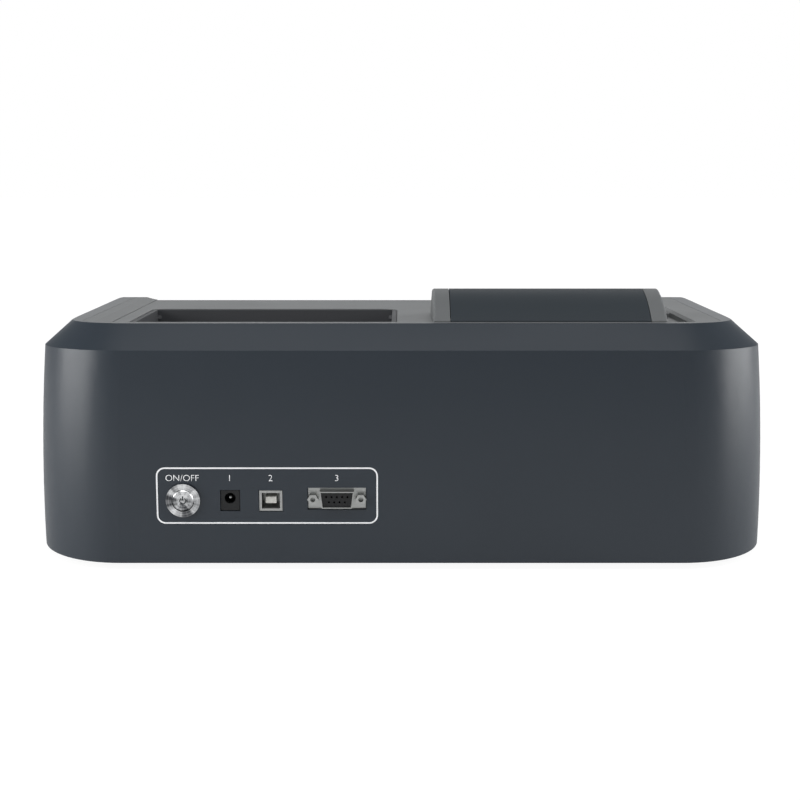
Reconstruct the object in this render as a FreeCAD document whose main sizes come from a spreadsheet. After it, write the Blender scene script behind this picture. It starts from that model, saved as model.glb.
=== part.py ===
import FreeCAD, Part
import math
import os
import re

import Sketcher

# A benchtop spectrophotometer: a wedge-shaped housing with a light deck panel,
# a sunken display, a lidded cell compartment and its optics, drives and boards.
# Frame: X to the right seen from the front, Y to the rear, Z up from the bench.
# Lengths are millimetres and angles are degrees.

SIZES = {
    # Housing, measured above its lower edge
    "body_width": 389,
    "body_depth": 294,
    "foot_height": 4,
    "wall": 3,
    "wall_lean": 3.82,
    "wall_bow_radius": 1195,
    "shoulder_height": 113.95,
    "rear_corner_radius": 46.5,
    "front_corner_radius": 68,
    "deck_height": 126.25,
    "deck_tilt": 6.4,
    "deck_length": 237.4,
    "front_tilt": 40,
    "crease_radius": 18,
    "chamfer_drop": 12.35,
    "chamfer_inset": 13.4,
    # Base
    "pan_thickness": 2,
    "pan_recess": 0.8,
    "pan_gap": 0.5,
    "foot_radius": 11,
    "foot_inset_x": 34,
    "foot_inset_y": 40,
    "boss_radius": 4.5,
    "boss_height": 15,
    "boss_wall_offset": 3.2,
    "side_boss_y": 62,
    "end_boss_x": 96,
    "rear_boss_x": 138,
    "screw_radius": 1.5,
    "screw_length": 8,
    "screw_head_radius": 2.8,
    "screw_head_height": 1.7,
    "vent_width": 3,
    "vent_length": 34,
    "vent_pitch": 7,
    # Deck panel
    "panel_half_width": 169.5,
    "panel_rear_gap": 18,
    "panel_front_gap": 20,
    "panel_thickness": 5.5,
    "panel_fit": 0.2,
    "panel_rear_radius": 20,
    "panel_front_radius": 49,
    "panel_rail": 3.8,
    "panel_rail_front": 2.6,
    "panel_rail_rear": 0,
    "rim_left_x": -153.7,
    "rim_right_x": 155.6,
    "sunken_depth": 1.9,
    "rim_slope_width": 6.5,
    "rim_slope_drop": 1.6,
    "side_pocket_depth": 4.2,
    "side_pocket_end": 115,
    # Display
    "display_left": 2.6,
    "display_right": 147,
    "display_rear_gap": 25,
    "display_front_gap": 150,
    "display_drop": 3,
    "display_tilt": 11,
    "bezel_wall": 2.6,
    "bezel_fit": 0.3,
    "bezel_flange": 2,
    "glass_thickness": 2,
    "ledge_thickness": 2.5,
    "ledge_width": 7,
    "module_thickness": 5,
    "board_thickness": 1.6,
    # Hood and lid
    "hood_left": -140,
    "hood_right": -16.5,
    "lid_left": -131.4,
    "lid_right": -25.5,
    "lid_gap": 0.35,
    "hood_rear_gap": 24.5,
    "hood_front_gap": 118,
    "hood_arc_back": 68,
    "hood_crest": 134,
    "hood_radius": 100,
    "hood_shoulder_radius": 20,
    "hood_front_tilt": 23.5,
    "lid_wall": 2.5,
    "lid_skirt": 4,
    "hinge_back": 33,
    "hinge_height": 122.5,
    "hinge_pin_radius": 1.5,
    "hinge_pin_length": 12,
    "hinge_boss_radius": 4.2,
    "hinge_boss_length": 8,
    "running_clearance": 0.05,
    "liner_wall": 2,
    # Cell compartment
    "tub_left": -127,
    "tub_right": -30,
    "tub_front": 29,
    "tub_rear": 103,
    "tub_wall": 3,
    "tub_rim": 110,
    "tub_flange": 2,
    "tub_flange_out": 7,
    "tub_apron": 16.5,
    "seal_height": 2,
    "seal_gap": 0.2,
    "carousel_x": -78.5,
    "carousel_y": 66,
    "carousel_radius": 33,
    "carousel_lift": 2.5,
    "carousel_base": 5.5,
    "carousel_post_radius": 7,
    "carousel_post": 27,
    "carousel_plate": 4,
    "carousel_neck_radius": 5,
    "cell_count": 6,
    "cell_size": 12.8,
    "cell_radius": 23.5,
    "cell_shaft_radius": 2.5,
    "stepper_radius": 14,
    "stepper_height": 19,
    "small_stepper_radius": 10,
    "small_stepper_height": 16,
    # Optical bench
    "bench_bottom": 28,
    "bench_thickness": 6,
    "beam_height": 60,
    "bench_left": -165,
    "bench_right": 164,
    "bench_rear": 100,
    "bench_step": -22,
    "bench_front": -98,
    "tongue_left": -10,
    "tongue_right": 66,
    "case_left": -2,
    "case_right": 152,
    "case_front": -18,
    "case_rear": 62,
    "case_wall": 3,
    "case_height": 50,
    "cover_thickness": 2.5,
    "beam_hole_radius": 5,
    "lamp_x": 22,
    "fold_y": -3,
    "mirror_x": 138,
    "mirror_radius": 10,
    "mirror_thickness": 5,
    "grating_x": 22,
    "grating_y": 20,
    "grating_size": 20,
    "grating_thickness": 5,
    "table_radius": 12,
    "table_shaft_radius": 3,
    "gear_module": 1,
    "gear_teeth": 100,
    "pinion_teeth": 12,
    "gear_backlash": 0.12,
    "gear_height": 5,
    "gear_bottom": 18,
    "gear_sector": 46,
    "pinion_direction": -65,
    "filter_wheel_y": -50,
    "filter_wheel_radius": 23,
    "filter_wheel_thickness": 3,
    "filter_orbit": 17,
    "filter_radius": 4.5,
    "filter_count": 6,
    "lamp_y": -79,
    "lamp_house_half": 14,
    "lamp_house_height": 48,
    "lamp_radius": 5,
    # Rear connectors, X from the centre and Z above the bench
    "button_x": 114,
    "button_z": 38.5,
    "button_face_radius": 8.9,
    "button_barrel_radius": 8,
    "button_cap_radius": 5.6,
    "button_cap_gap": 0.35,
    "dc_left": 84.6,
    "dc_right": 94.4,
    "dc_bottom": 32.7,
    "dc_top": 43.5,
    "dc_hole_z": 39.3,
    "dc_hole_radius": 2.9,
    "dc_pin_radius": 1,
    "usb_left": 62.3,
    "usb_right": 74.3,
    "usb_bottom": 32.4,
    "usb_top": 43.4,
    "usb_rim": 1.3,
    "serial_x": 33.8,
    "serial_z": 39.1,
    "serial_flange_width": 30,
    "serial_flange_height": 11.2,
    "serial_pitch": 25,
    "serial_recess": 1.6,
    "connector_gap": 0.3,
    "connector_board_top": 31.3,
}

WORD = re.compile(r"[a-z_][a-z_0-9]*")

doc = FreeCAD.newDocument("BenchtopSpectrophotometer")
sheet = doc.addObject("Spreadsheet::Sheet", "Sizes")
for row, (alias, value) in enumerate(SIZES.items(), start=1):
    sheet.set(f"A{row}", alias.replace("_", " "))
    sheet.set(f"B{row}", str(value))
    sheet.setAlias(f"B{row}", alias)
trial = doc.addObject("Spreadsheet::Sheet", "Trial")
doc.recompute()


def size(alias):
    """The number in the cell of that name."""
    return float(sheet.get(alias))


def named(formula):
    """A formula with the sheet's name put before each named size."""
    def cell(word):
        return "Sizes." + word.group() if word.group() in SIZES else word.group()
    return WORD.sub(cell, str(formula))


def worth(formula):
    """What a formula of named sizes comes to, worked out in a cell of its own."""
    trial.set("A1", "=" + named(formula))
    trial.recompute()
    return float(trial.get("A1"))


def bind(item, path, formula):
    """Ties a property to a formula of named sizes."""
    item.setExpression(path, named(formula))


# Places that follow from the sizes
REAR = "(body_depth / 2 - wall_lean)"
CREASE = f"({REAR} - deck_length)"
PAN_BOTTOM = "(foot_height + pan_recess)"
PAN_TOP = f"({PAN_BOTTOM} + pan_thickness)"
BENCH_TOP = "(bench_bottom + bench_thickness)"
HINGE_Y = f"({REAR} - hinge_back)"
HINGE_Z = "(foot_height + hinge_height)"
CAROUSEL_BOTTOM = f"({BENCH_TOP} + tub_wall + carousel_lift)"
CELL_FLOOR = f"({CAROUSEL_BOTTOM} + carousel_base)"
PLATE_BOTTOM = f"({CELL_FLOOR} + carousel_post)"
BEAM_Y = "(carousel_y - cell_radius)"


def deck(y, depth=0):
    """Height of the deck plane at y, or of a plane that far below it."""
    height = f"(foot_height + deck_height - tan(deck_tilt) * ({REAR} - ({y})))"
    return f"({height} - ({depth}) / cos(deck_tilt))"


def front(y, depth=0):
    """Height of the front slope at y, or of a plane that far below it."""
    return f"({deck(CREASE)} - tan(front_tilt) * ({CREASE} - ({y})) - ({depth}) / cos(front_tilt))"


def behind(gap):
    """Y of a place that lies the given distance in front of the rear plane."""
    return f"({REAR} - {gap})"


class Profile:
    """A sketch on one of a body's own origin planes, moved along its normal."""

    def __init__(self, body, plane="XY", offset=0):
        self.body = body
        self.sketch = body.newObject("Sketcher::SketchObject", body.Label + "_sketch")
        origin = next(o for o in body.Origin.OriginFeatures if o.Role == plane + "_Plane")
        self.sketch.AttachmentSupport = [(origin, "")]
        self.sketch.MapMode = "FlatFace"
        bind(self.sketch, "AttachmentOffset.Base.z", offset)

    def tie(self, kind, *where, formula):
        """Adds a dimension whose value is a formula."""
        value = worth(formula)
        value = math.radians(value) if kind == "Angle" else value
        index = self.sketch.addConstraint(Sketcher.Constraint(kind, *where, value))
        bind(self.sketch, f"Constraints[{index}]", formula)

    def rule(self, kind, *where):
        """Adds a constraint without a value."""
        self.sketch.addConstraint(Sketcher.Constraint(kind, *where))

    def place(self, edge, point, across, up):
        """Dimensions a point of an edge from the sketch's origin."""
        self.tie("DistanceX", -1, 1, edge, point, formula=across)
        self.tie("DistanceY", -1, 1, edge, point, formula=up)

    def polygon(self, points):
        """A closed outline of straight edges through the given corners."""
        count = len(points)
        corner = [FreeCAD.Vector(worth(across), worth(up), 0) for across, up in points]
        edges = [self.sketch.addGeometry(Part.LineSegment(corner[i], corner[(i + 1) % count]), False)
                 for i in range(count)]
        for i, edge in enumerate(edges):
            self.rule("Coincident", edge, 2, edges[(i + 1) % count], 1)
            self.place(edge, 1, *points[i])
        return self

    def rectangle(self, left, bottom, right, top):
        """A rectangle between two corners."""
        return self.polygon([(left, bottom), (right, bottom), (right, top), (left, top)])

    def circle(self, across, up, radius):
        """A circle at a place."""
        edge = self.sketch.addGeometry(
            Part.Circle(FreeCAD.Vector(worth(across), worth(up), 0), FreeCAD.Vector(0, 0, 1),
                        worth(radius)), False)
        self.tie("Radius", edge, formula=radius)
        self.place(edge, 3, across, up)
        return self


def new_body(label):
    """An empty body whose label names its file."""
    body = doc.addObject("PartDesign::Body", label)
    body.Label = label
    return body


def pad(profile, length, back=False):
    """Raises a profile along its plane's normal, or against it."""
    feature = profile.body.newObject("PartDesign::Pad", "Pad")
    feature.Profile = profile.sketch
    feature.Reversed = back
    bind(feature, "Length", length)
    doc.recompute()
    return feature


def pocket(profile, length, back=False):
    """Cuts a profile against its plane's normal, or along it when back is set."""
    before = profile.body.Tip.Shape.Volume
    feature = profile.body.newObject("PartDesign::Pocket", "Pocket")
    feature.Profile = profile.sketch
    feature.Reversed = back
    bind(feature, "Length", length)
    doc.recompute()
    if feature.Shape.Volume > before - 0.01:
        raise ValueError(f"a pocket in {profile.body.Label} cuts nothing")
    return feature


def dress(body, kind, test, **settings):
    """Rounds or bevels the edges of a body's last feature that pass a test."""
    base = body.Tip
    names = [f"Edge{i}" for i, edge in enumerate(base.Shape.Edges, start=1) if test(edge)]
    feature = body.newObject("PartDesign::" + kind, kind)
    feature.Base = (base, names)
    if "Size2" in settings:
        feature.ChamferType = "Two distances"
    for path, formula in settings.items():
        bind(feature, path, formula)
    doc.recompute()
    return feature


def upright(edge, least=0.5):
    """True for a straight-up edge."""
    first, last = edge.Vertexes[0].Point, edge.Vertexes[-1].Point
    lean = math.hypot(first.x - last.x, first.y - last.y)
    return abs(first.z - last.z) > least and lean < 0.2 * abs(first.z - last.z)


def block(label, left, front_y, bottom, right, rear_y, top):
    """A box between two corners."""
    box = doc.addObject("Part::Box", label)
    bind(box, "Placement.Base.x", left)
    bind(box, "Placement.Base.y", front_y)
    bind(box, "Placement.Base.z", bottom)
    bind(box, "Length", f"({right}) - ({left})")
    bind(box, "Width", f"({rear_y}) - ({front_y})")
    bind(box, "Height", f"({top}) - ({bottom})")
    return box


TURNS = {"x": (FreeCAD.Vector(0, 1, 0), 90), "y": (FreeCAD.Vector(1, 0, 0), -90),
         "z": (FreeCAD.Vector(0, 0, 1), 0)}


def rod(label, across, depth, up, radius, length, along="z"):
    """A cylinder that starts at a place and runs along an axis."""
    cylinder = doc.addObject("Part::Cylinder", label)
    cylinder.Placement = FreeCAD.Placement(FreeCAD.Vector(), FreeCAD.Rotation(*TURNS[along]))
    bind(cylinder, "Placement.Base.x", across)
    bind(cylinder, "Placement.Base.y", depth)
    bind(cylinder, "Placement.Base.z", up)
    bind(cylinder, "Radius", radius)
    bind(cylinder, "Height", length)
    return cylinder


def prism(label, sides, across, depth, up, radius, length, along="z"):
    """A regular prism that starts at a place, measured to its corners."""
    shape = doc.addObject("Part::Prism", label)
    shape.Placement = FreeCAD.Placement(FreeCAD.Vector(), FreeCAD.Rotation(*TURNS[along]))
    shape.Polygon = sides
    bind(shape, "Placement.Base.x", across)
    bind(shape, "Placement.Base.y", depth)
    bind(shape, "Placement.Base.z", up)
    bind(shape, "Circumradius", radius)
    bind(shape, "Height", length)
    return shape


def joined(label, *pieces):
    """One solid made of several."""
    whole = doc.addObject("Part::MultiFuse", label)
    whole.Shapes = list(pieces)
    whole.Label = label
    return whole


def cut_from(label, base, *tools):
    """A solid with other solids taken away."""
    tool = tools[0] if len(tools) == 1 else joined(label + "_tools", *tools)
    result = doc.addObject("Part::Cut", label)
    result.Base = base
    result.Tool = tool
    result.Label = label
    return result


def group(label, *pieces):
    """Separate solids of one kind, kept together."""
    whole = doc.addObject("Part::Compound", label)
    whole.Links = list(pieces)
    whole.Label = label
    return whole


NODES = []


def keep(item):
    """Marks a finished sub-part to be written out."""
    NODES.append(item)
    return item


# Walls and roofs


def wall_arc(profile, sign, half, top):
    """A bowed wall in a profile, from its lower edge up to the top."""
    radius, lean, rise = size("wall_bow_radius"), size("wall_lean"), size("shoulder_height")
    foot = size("foot_height")
    chord = math.hypot(lean, rise)
    drop = radius - math.sqrt(radius ** 2 - chord ** 2 / 4)
    middle = FreeCAD.Vector(half - lean / 2, foot + rise / 2, 0)
    outward = FreeCAD.Vector(rise / chord, lean / chord, 0)
    centre = middle + outward * (drop - radius)
    start = math.asin((foot - centre.y) / radius)
    end = math.asin((top - centre.y) / radius)
    if sign < 0:
        centre.x, start, end = -centre.x, math.pi - end, math.pi - start
    circle = Part.Circle(centre, FreeCAD.Vector(0, 0, 1), radius)
    arc = profile.sketch.addGeometry(Part.ArcOfCircle(circle, start, end), False)
    mark = profile.sketch.addGeometry(
        Part.Point(FreeCAD.Vector(sign * (half - lean), foot + rise, 0)), True)
    profile.rule("PointOnObject", mark, 1, arc)
    profile.tie("Radius", arc, formula="wall_bow_radius")
    return arc, mark


COLUMN_TOP = 165


def column(body, inset):
    """The upright column with bowed walls and round corners, before the roof is cut."""
    side = Profile(body, "YZ", "-(body_width / 2 + 20)")
    half = size("body_depth") / 2 - inset
    span = f"(body_depth / 2 - {inset})"
    rear, rear_mark = wall_arc(side, 1, half, COLUMN_TOP)
    fore, fore_mark = wall_arc(side, -1, half, COLUMN_TOP)
    ends = {}
    for arc, mark, sign, low, high in ((rear, rear_mark, "", 1, 2), (fore, fore_mark, "-", 2, 1)):
        side.place(arc, low, f"{sign}{span}", "foot_height")
        side.tie("DistanceY", -1, 1, arc, high, formula=COLUMN_TOP)
        side.place(mark, 1, f"{sign}({span} - wall_lean)", "foot_height + shoulder_height")
        ends[arc] = (side.sketch.getPoint(arc, low), side.sketch.getPoint(arc, high))
    base = side.sketch.addGeometry(Part.LineSegment(ends[fore][0], ends[rear][0]), False)
    lid = side.sketch.addGeometry(Part.LineSegment(ends[rear][1], ends[fore][1]), False)
    side.rule("Coincident", base, 1, fore, 2)
    side.rule("Coincident", base, 2, rear, 1)
    side.rule("Coincident", lid, 1, rear, 2)
    side.rule("Coincident", lid, 2, fore, 1)
    pad(side, "body_width + 40")

    flank = Profile(body, "XZ", "body_depth / 2 + 20")
    half = size("body_width") / 2 - inset
    span = f"(body_width / 2 - {inset})"
    for sign, text in ((1, ""), (-1, "-")):
        arc, mark = wall_arc(flank, sign, half, COLUMN_TOP)
        low, high = (1, 2) if sign > 0 else (2, 1)
        flank.place(arc, low, f"{text}{span}", "foot_height")
        flank.tie("DistanceY", -1, 1, arc, high, formula=COLUMN_TOP)
        flank.place(mark, 1, f"{text}({span} - wall_lean)", "foot_height + shoulder_height")
        bottom, top = flank.sketch.getPoint(arc, low), flank.sketch.getPoint(arc, high)
        outer = sign * (size("body_width") / 2 + 40)
        corners = [bottom, FreeCAD.Vector(outer, bottom.y, 0), FreeCAD.Vector(outer, top.y, 0), top]
        lines = [flank.sketch.addGeometry(Part.LineSegment(corners[i], corners[i + 1]), False)
                 for i in range(3)]
        flank.rule("Coincident", lines[0], 1, arc, low)
        flank.rule("Coincident", lines[0], 2, lines[1], 1)
        flank.rule("Coincident", lines[1], 2, lines[2], 1)
        flank.rule("Coincident", lines[2], 2, arc, high)
        flank.rule("Horizontal", lines[0])
        flank.rule("Vertical", lines[1])
        flank.rule("Horizontal", lines[2])
        flank.tie("DistanceX", -1, 1, lines[1], 1, formula=f"{text}(body_width / 2 + 40)")
    pocket(flank, "body_depth + 40")

    rear_edge = size("body_depth") / 4
    dress(body, "Fillet", lambda e: upright(e, 100) and e.CenterOfMass.y > rear_edge,
          Radius=f"rear_corner_radius - {inset}")
    corner_x = size("body_width") / 2 - 30
    corner_y = -size("body_depth") / 2 + 30
    dress(body, "Fillet", lambda e: upright(e, 100) and abs(e.CenterOfMass.x) > corner_x
          and e.CenterOfMass.y < corner_y, Radius=f"front_corner_radius - {inset}")


def crease(depth):
    """Y of the corner where deck and front planes meet, that far below the surface."""
    spread = "(1 / cos(deck_tilt) - 1 / cos(front_tilt)) / (tan(front_tilt) - tan(deck_tilt))"
    return f"({CREASE} - ({depth}) * {spread})"


def roof_line(profile, rear_y, front_y, depth):
    """Deck line, rounded crease and front line at a depth; gives their three edges."""
    tilt, steep = math.radians(size("deck_tilt")), math.radians(size("front_tilt"))
    rounding = f"(crease_radius - ({depth}))"
    radius = worth(rounding)
    corner = FreeCAD.Vector(worth(crease(depth)), worth(deck(crease(depth), depth)), 0)
    rear = FreeCAD.Vector(worth(rear_y), worth(deck(rear_y, depth)), 0)
    fore = FreeCAD.Vector(worth(front_y), worth(front(front_y, depth)), 0)
    turn = radius * math.tan((steep - tilt) / 2)
    first = corner + (rear - corner).normalize() * turn
    last = corner + (fore - corner).normalize() * turn
    centre = first + FreeCAD.Vector(math.sin(tilt), -math.cos(tilt), 0) * radius
    begin = math.atan2(first.y - centre.y, first.x - centre.x)
    finish = math.atan2(last.y - centre.y, last.x - centre.x)
    circle = Part.Circle(centre, FreeCAD.Vector(0, 0, 1), radius)
    line_a = profile.sketch.addGeometry(Part.LineSegment(rear, first), False)
    arc = profile.sketch.addGeometry(Part.ArcOfCircle(circle, begin, finish), False)
    line_b = profile.sketch.addGeometry(Part.LineSegment(last, fore), False)
    mark = profile.sketch.addGeometry(Part.Point(corner), True)
    profile.place(mark, 1, crease(depth), deck(crease(depth), depth))
    profile.rule("PointOnObject", mark, 1, line_a)
    profile.rule("PointOnObject", mark, 1, line_b)
    profile.place(line_a, 1, rear_y, deck(rear_y, depth))
    profile.place(line_b, 2, front_y, front(front_y, depth))
    profile.rule("Tangent", line_a, 2, arc, 1)
    profile.rule("Tangent", arc, 2, line_b, 1)
    profile.tie("Radius", arc, formula=rounding)
    return line_a, arc, line_b


def join_ends(profile, points):
    """Lines through a chain of sketch points, each an (edge, end) or a pair of formulas."""
    places = []
    for point in points:
        fixed = isinstance(point[0], int)
        places.append(profile.sketch.getPoint(*point) if fixed
                      else FreeCAD.Vector(worth(point[0]), worth(point[1]), 0))
    lines = [profile.sketch.addGeometry(Part.LineSegment(places[i], places[i + 1]), False)
             for i in range(len(points) - 1)]
    for i, line in enumerate(lines):
        for end, point in ((1, points[i]), (2, points[i + 1])):
            if isinstance(point[0], int):
                profile.rule("Coincident", line, end, *point)
            elif end == 2:
                profile.place(line, end, *point)
        if i:
            profile.rule("Coincident", lines[i - 1], 2, line, 1)
    return lines


def cut_roof(body, inset):
    """Cuts a column down to the sloping deck, and bevels the top edge all round."""
    above = Profile(body, "YZ", "body_width / 2 + 20")
    line_a, arc, line_b = roof_line(above, 190, -190, inset)
    join_ends(above, [(line_b, 2), ("-190", "230"), ("190", "230"), (line_a, 1)])
    pocket(above, "body_width + 40")

    seen = {}
    for face in body.Tip.Shape.Faces:
        u0, u1, v0, v1 = face.ParameterRange
        if face.normalAt((u0 + u1) / 2, (v0 + v1) / 2).z > 0.6:
            for edge in face.Edges:
                seen.setdefault(edge.hashCode(), []).append(edge)
    rim = [found[0] for found in seen.values() if len(found) == 1]
    dress(body, "Chamfer", lambda e: any(e.isSame(other) for other in rim),
          Size="chamfer_drop", Size2="chamfer_inset")


def boss_places():
    """X and Y formulas of the screw bosses along the housing's lower edge."""
    side = "(body_width / 2 - wall - boss_wall_offset)"
    end = "(body_depth / 2 - wall - boss_wall_offset)"
    places = [(f"{sx}{side}", f"{sy}side_boss_y") for sx in ("", "-") for sy in ("", "-")]
    places += [(f"{sx}end_boss_x", f"-{end}") for sx in ("", "-")]
    places += [("rear_boss_x", end), ("-rear_boss_x", end)]
    return places


def plan_body(label, left, front_y, right, rear_y, bottom, top, rear_radius, front_radius):
    """An upright block with its four corners rounded in plan."""
    body = new_body(label)
    profile = Profile(body, "XY", bottom).rectangle(left, front_y, right, rear_y)
    pad(profile, f"({top}) - ({bottom})")
    middle = (worth(front_y) + worth(rear_y)) / 2
    dress(body, "Fillet", lambda e: upright(e, 1) and e.CenterOfMass.y > middle, Radius=rear_radius)
    dress(body, "Fillet", lambda e: upright(e, 1) and e.CenterOfMass.y < middle
          and e.Curve.TypeId == "Part::GeomLine" and at_corner(e, left, right), Radius=front_radius)
    return body


def at_corner(edge, left, right):
    """True for an edge that stands on the left or right side of a block."""
    across = edge.CenterOfMass.x
    return min(abs(across - worth(left)), abs(across - worth(right))) < 0.01


def trim_roof(body, depth, below=False):
    """Cuts a body along the roof line at a depth, above it or below it."""
    side = Profile(body, "YZ", "body_width / 2 + 20")
    line_a, arc, line_b = roof_line(side, 190, -190, depth)
    far = "-60" if below else "230"
    join_ends(side, [(line_b, 2), ("-190", far), ("190", far), (line_a, 1)])
    pocket(side, "body_width + 40")


def on_slope(item, y, z, angle):
    """Stands a piece that was drawn level on a slope through a place."""
    item.Placement = FreeCAD.Placement(FreeCAD.Vector(), FreeCAD.Rotation(FreeCAD.Vector(1, 0, 0), 1))
    bind(item, "Placement.Base.y", y)
    bind(item, "Placement.Base.z", z)
    bind(item, "Placement.Rotation.Angle", angle)
    return item


def turned(item, x, y, angle):
    """Puts a piece drawn about the upright axis at a place, turned about that axis."""
    item.Placement = FreeCAD.Placement(FreeCAD.Vector(), FreeCAD.Rotation(FreeCAD.Vector(0, 0, 1), 1))
    bind(item, "Placement.Base.x", x)
    bind(item, "Placement.Base.y", y)
    bind(item, "Placement.Rotation.Angle", angle)
    return item


# Screws, all of one size


def screw(label, x, y, seat, rising=False):
    """A pan-head screw whose head rests on the seat height."""
    shank_foot = seat if rising else f"({seat}) - screw_length"
    head_foot = f"({seat}) - screw_head_height" if rising else seat
    shank = rod(label + "_shank", x, y, shank_foot, "screw_radius", "screw_length")
    head = rod(label + "_head", x, y, head_foot, "screw_head_radius", "screw_head_height")
    return joined(label, shank, head)


def screws(label, places, seat, rising=False):
    """Screws of one height at a list of places."""
    return [screw(f"{label}_{i}", x, y, seat, rising) for i, (x, y) in enumerate(places, start=1)]


def corners(left, front_y, right, rear_y):
    """The four corners of a rectangle."""
    return [(left, front_y), (right, front_y), (right, rear_y), (left, rear_y)]


FEET = corners("-(body_width / 2 - foot_inset_x)", "-(body_depth / 2 - foot_inset_y)",
               "(body_width / 2 - foot_inset_x)", "(body_depth / 2 - foot_inset_y)")
FOOT_SEAT = f"({PAN_BOTTOM} - 1.7)"
boss_screws = group("boss_screws", *screws("boss_screw", boss_places(), PAN_BOTTOM, True))
foot_screws = group("foot_screws", *screws("foot_screw", FEET, FOOT_SEAT, True))
keep(group("base_screws", boss_screws, foot_screws))

# Housing

cavity = new_body("housing_cavity")
column(cavity, size("wall"))
cut_roof(cavity, size("wall"))

outer = new_body("housing_outer")
column(outer, 0)
cut_roof(outer, 0)

bosses = [rod(f"housing_boss_{i}", x, y, PAN_TOP, "boss_radius", "boss_height")
          for i, (x, y) in enumerate(boss_places(), start=1)]
hollow = cut_from("housing_hollow", outer, cavity)
deck_opening = plan_body("deck_opening", "-panel_half_width", "-(body_depth / 2 - panel_front_gap)",
                         "panel_half_width", behind("panel_rear_gap"), 68, 160,
                         "panel_rear_radius", "panel_front_radius")
GAP = "connector_gap"
SERIAL_LEFT = "(serial_x - serial_flange_width / 2)"
SERIAL_RIGHT = "(serial_x + serial_flange_width / 2)"
SERIAL_BOTTOM = "(serial_z - serial_flange_height / 2)"
SERIAL_TOP = "(serial_z + serial_flange_height / 2)"
INNER_REAR = "(body_depth / 2 - wall - 4)"
OUTER_REAR = "(body_depth / 2 + 5)"
rear_holes = [
    rod("button_hole", "button_x", INNER_REAR, "button_z", "button_barrel_radius", 12, "y"),
    block("dc_hole", f"dc_left - {GAP}", INNER_REAR, f"dc_bottom - {GAP}",
          f"dc_right + {GAP}", OUTER_REAR, f"dc_top + {GAP}"),
    block("usb_hole", f"usb_left - {GAP}", INNER_REAR, f"usb_bottom - {GAP}",
          f"usb_right + {GAP}", OUTER_REAR, f"usb_top + {GAP}"),
    block("serial_hole", f"{SERIAL_LEFT} - {GAP}", INNER_REAR, f"{SERIAL_BOTTOM} - {GAP}",
          f"{SERIAL_RIGHT} + {GAP}", OUTER_REAR, f"{SERIAL_TOP} + {GAP}"),
]
solid_housing = joined("housing_with_bosses", hollow, *bosses)
keep(cut_from("upper_housing", solid_housing, deck_opening, boss_screws, *rear_holes))

# Base pan and feet

PAN_EDGE = "(body_width / 2 - wall - pan_gap)"
PAN_END = "(body_depth / 2 - wall - pan_gap)"
pan = plan_body("pan_plate", f"-{PAN_EDGE}", f"-{PAN_END}", PAN_EDGE, PAN_END, PAN_BOTTOM, PAN_TOP,
                "rear_corner_radius - wall - pan_gap", "front_corner_radius - wall - pan_gap")
vents = Profile(pan, "XY", PAN_TOP)
for column_x in ("-120", "22"):
    for number in range(-4, 5):
        slot_y = f"(-66 + {number} * vent_pitch)"
        vents.rectangle(f"{column_x} - vent_length / 2", f"{slot_y} - vent_width / 2",
                        f"{column_x} + vent_length / 2", f"{slot_y} + vent_width / 2")
pocket(vents, "pan_thickness + 1")

MAIN_BOARD = ("72", "-112", "156", "-26")
POWER_BOARD = ("-156", "-112", "-24", "-26")
REAR_BOARD = ("6", "106", "100", "139")
LOW_BOARD = f"({PAN_TOP} + 8)"
REAR_BOARD_BOTTOM = "(connector_board_top - board_thickness)"


def board_corners(board, edge=5):
    """Screw places of a board."""
    left, front_y, right, rear_y = board
    return corners(f"({left} + {edge})", f"({front_y} + {edge})",
                   f"({right} - {edge})", f"({rear_y} - {edge})")


REAR_BOARD_SCREWS = [("11", "111"), ("95", "111"), ("11", "134"), ("55.5", "134")]
board_screws = (screws("main_board_screw", board_corners(MAIN_BOARD), f"({LOW_BOARD} + board_thickness)")
                + screws("power_board_screw", board_corners(POWER_BOARD),
                         f"({LOW_BOARD} + board_thickness)")
                + screws("rear_board_screw", REAR_BOARD_SCREWS, "connector_board_top"))
board_screw_group = group("board_screws", *board_screws)
BENCH_POSTS = [("-156", "-14"), ("-156", "91"), ("158", "-14"), ("158", "91"), ("-3", "-91"), ("59", "-91")]
bench_screws = group("bench_screws", *screws("bench_screw", BENCH_POSTS, BENCH_TOP))

pan_posts = [rod(f"foot_boss_{i}", x, y, PAN_TOP, "boss_radius", 6)
             for i, (x, y) in enumerate(FEET, start=1)]
pan_posts += [rod(f"board_boss_{i}", x, y, PAN_TOP, 3.5, f"{LOW_BOARD} - {PAN_TOP}")
              for i, (x, y) in enumerate(board_corners(MAIN_BOARD) + board_corners(POWER_BOARD), start=1)]
pan_posts += [rod(f"rear_board_boss_{i}", x, y, PAN_TOP, 3.5, f"{REAR_BOARD_BOTTOM} - {PAN_TOP}")
              for i, (x, y) in enumerate(REAR_BOARD_SCREWS, start=1)]
pan_solid = joined("pan_with_bosses", pan, *pan_posts)
keep(cut_from("base_pan", pan_solid, boss_screws, foot_screws, board_screw_group))
foot_pads = []
for i, (x, y) in enumerate(FEET, start=1):
    puck = rod(f"foot_puck_{i}", x, y, 0, "foot_radius", PAN_BOTTOM)
    well = rod(f"foot_well_{i}", x, y, 0, 4, FOOT_SEAT)
    hole = rod(f"foot_hole_{i}", x, y, 0, "screw_radius", 6)
    foot_pads.append(cut_from(f"foot_{i}", puck, well, hole))
keep(group("rubber_feet", *foot_pads))

# Deck panel with the fixed cheeks of the hood


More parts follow.
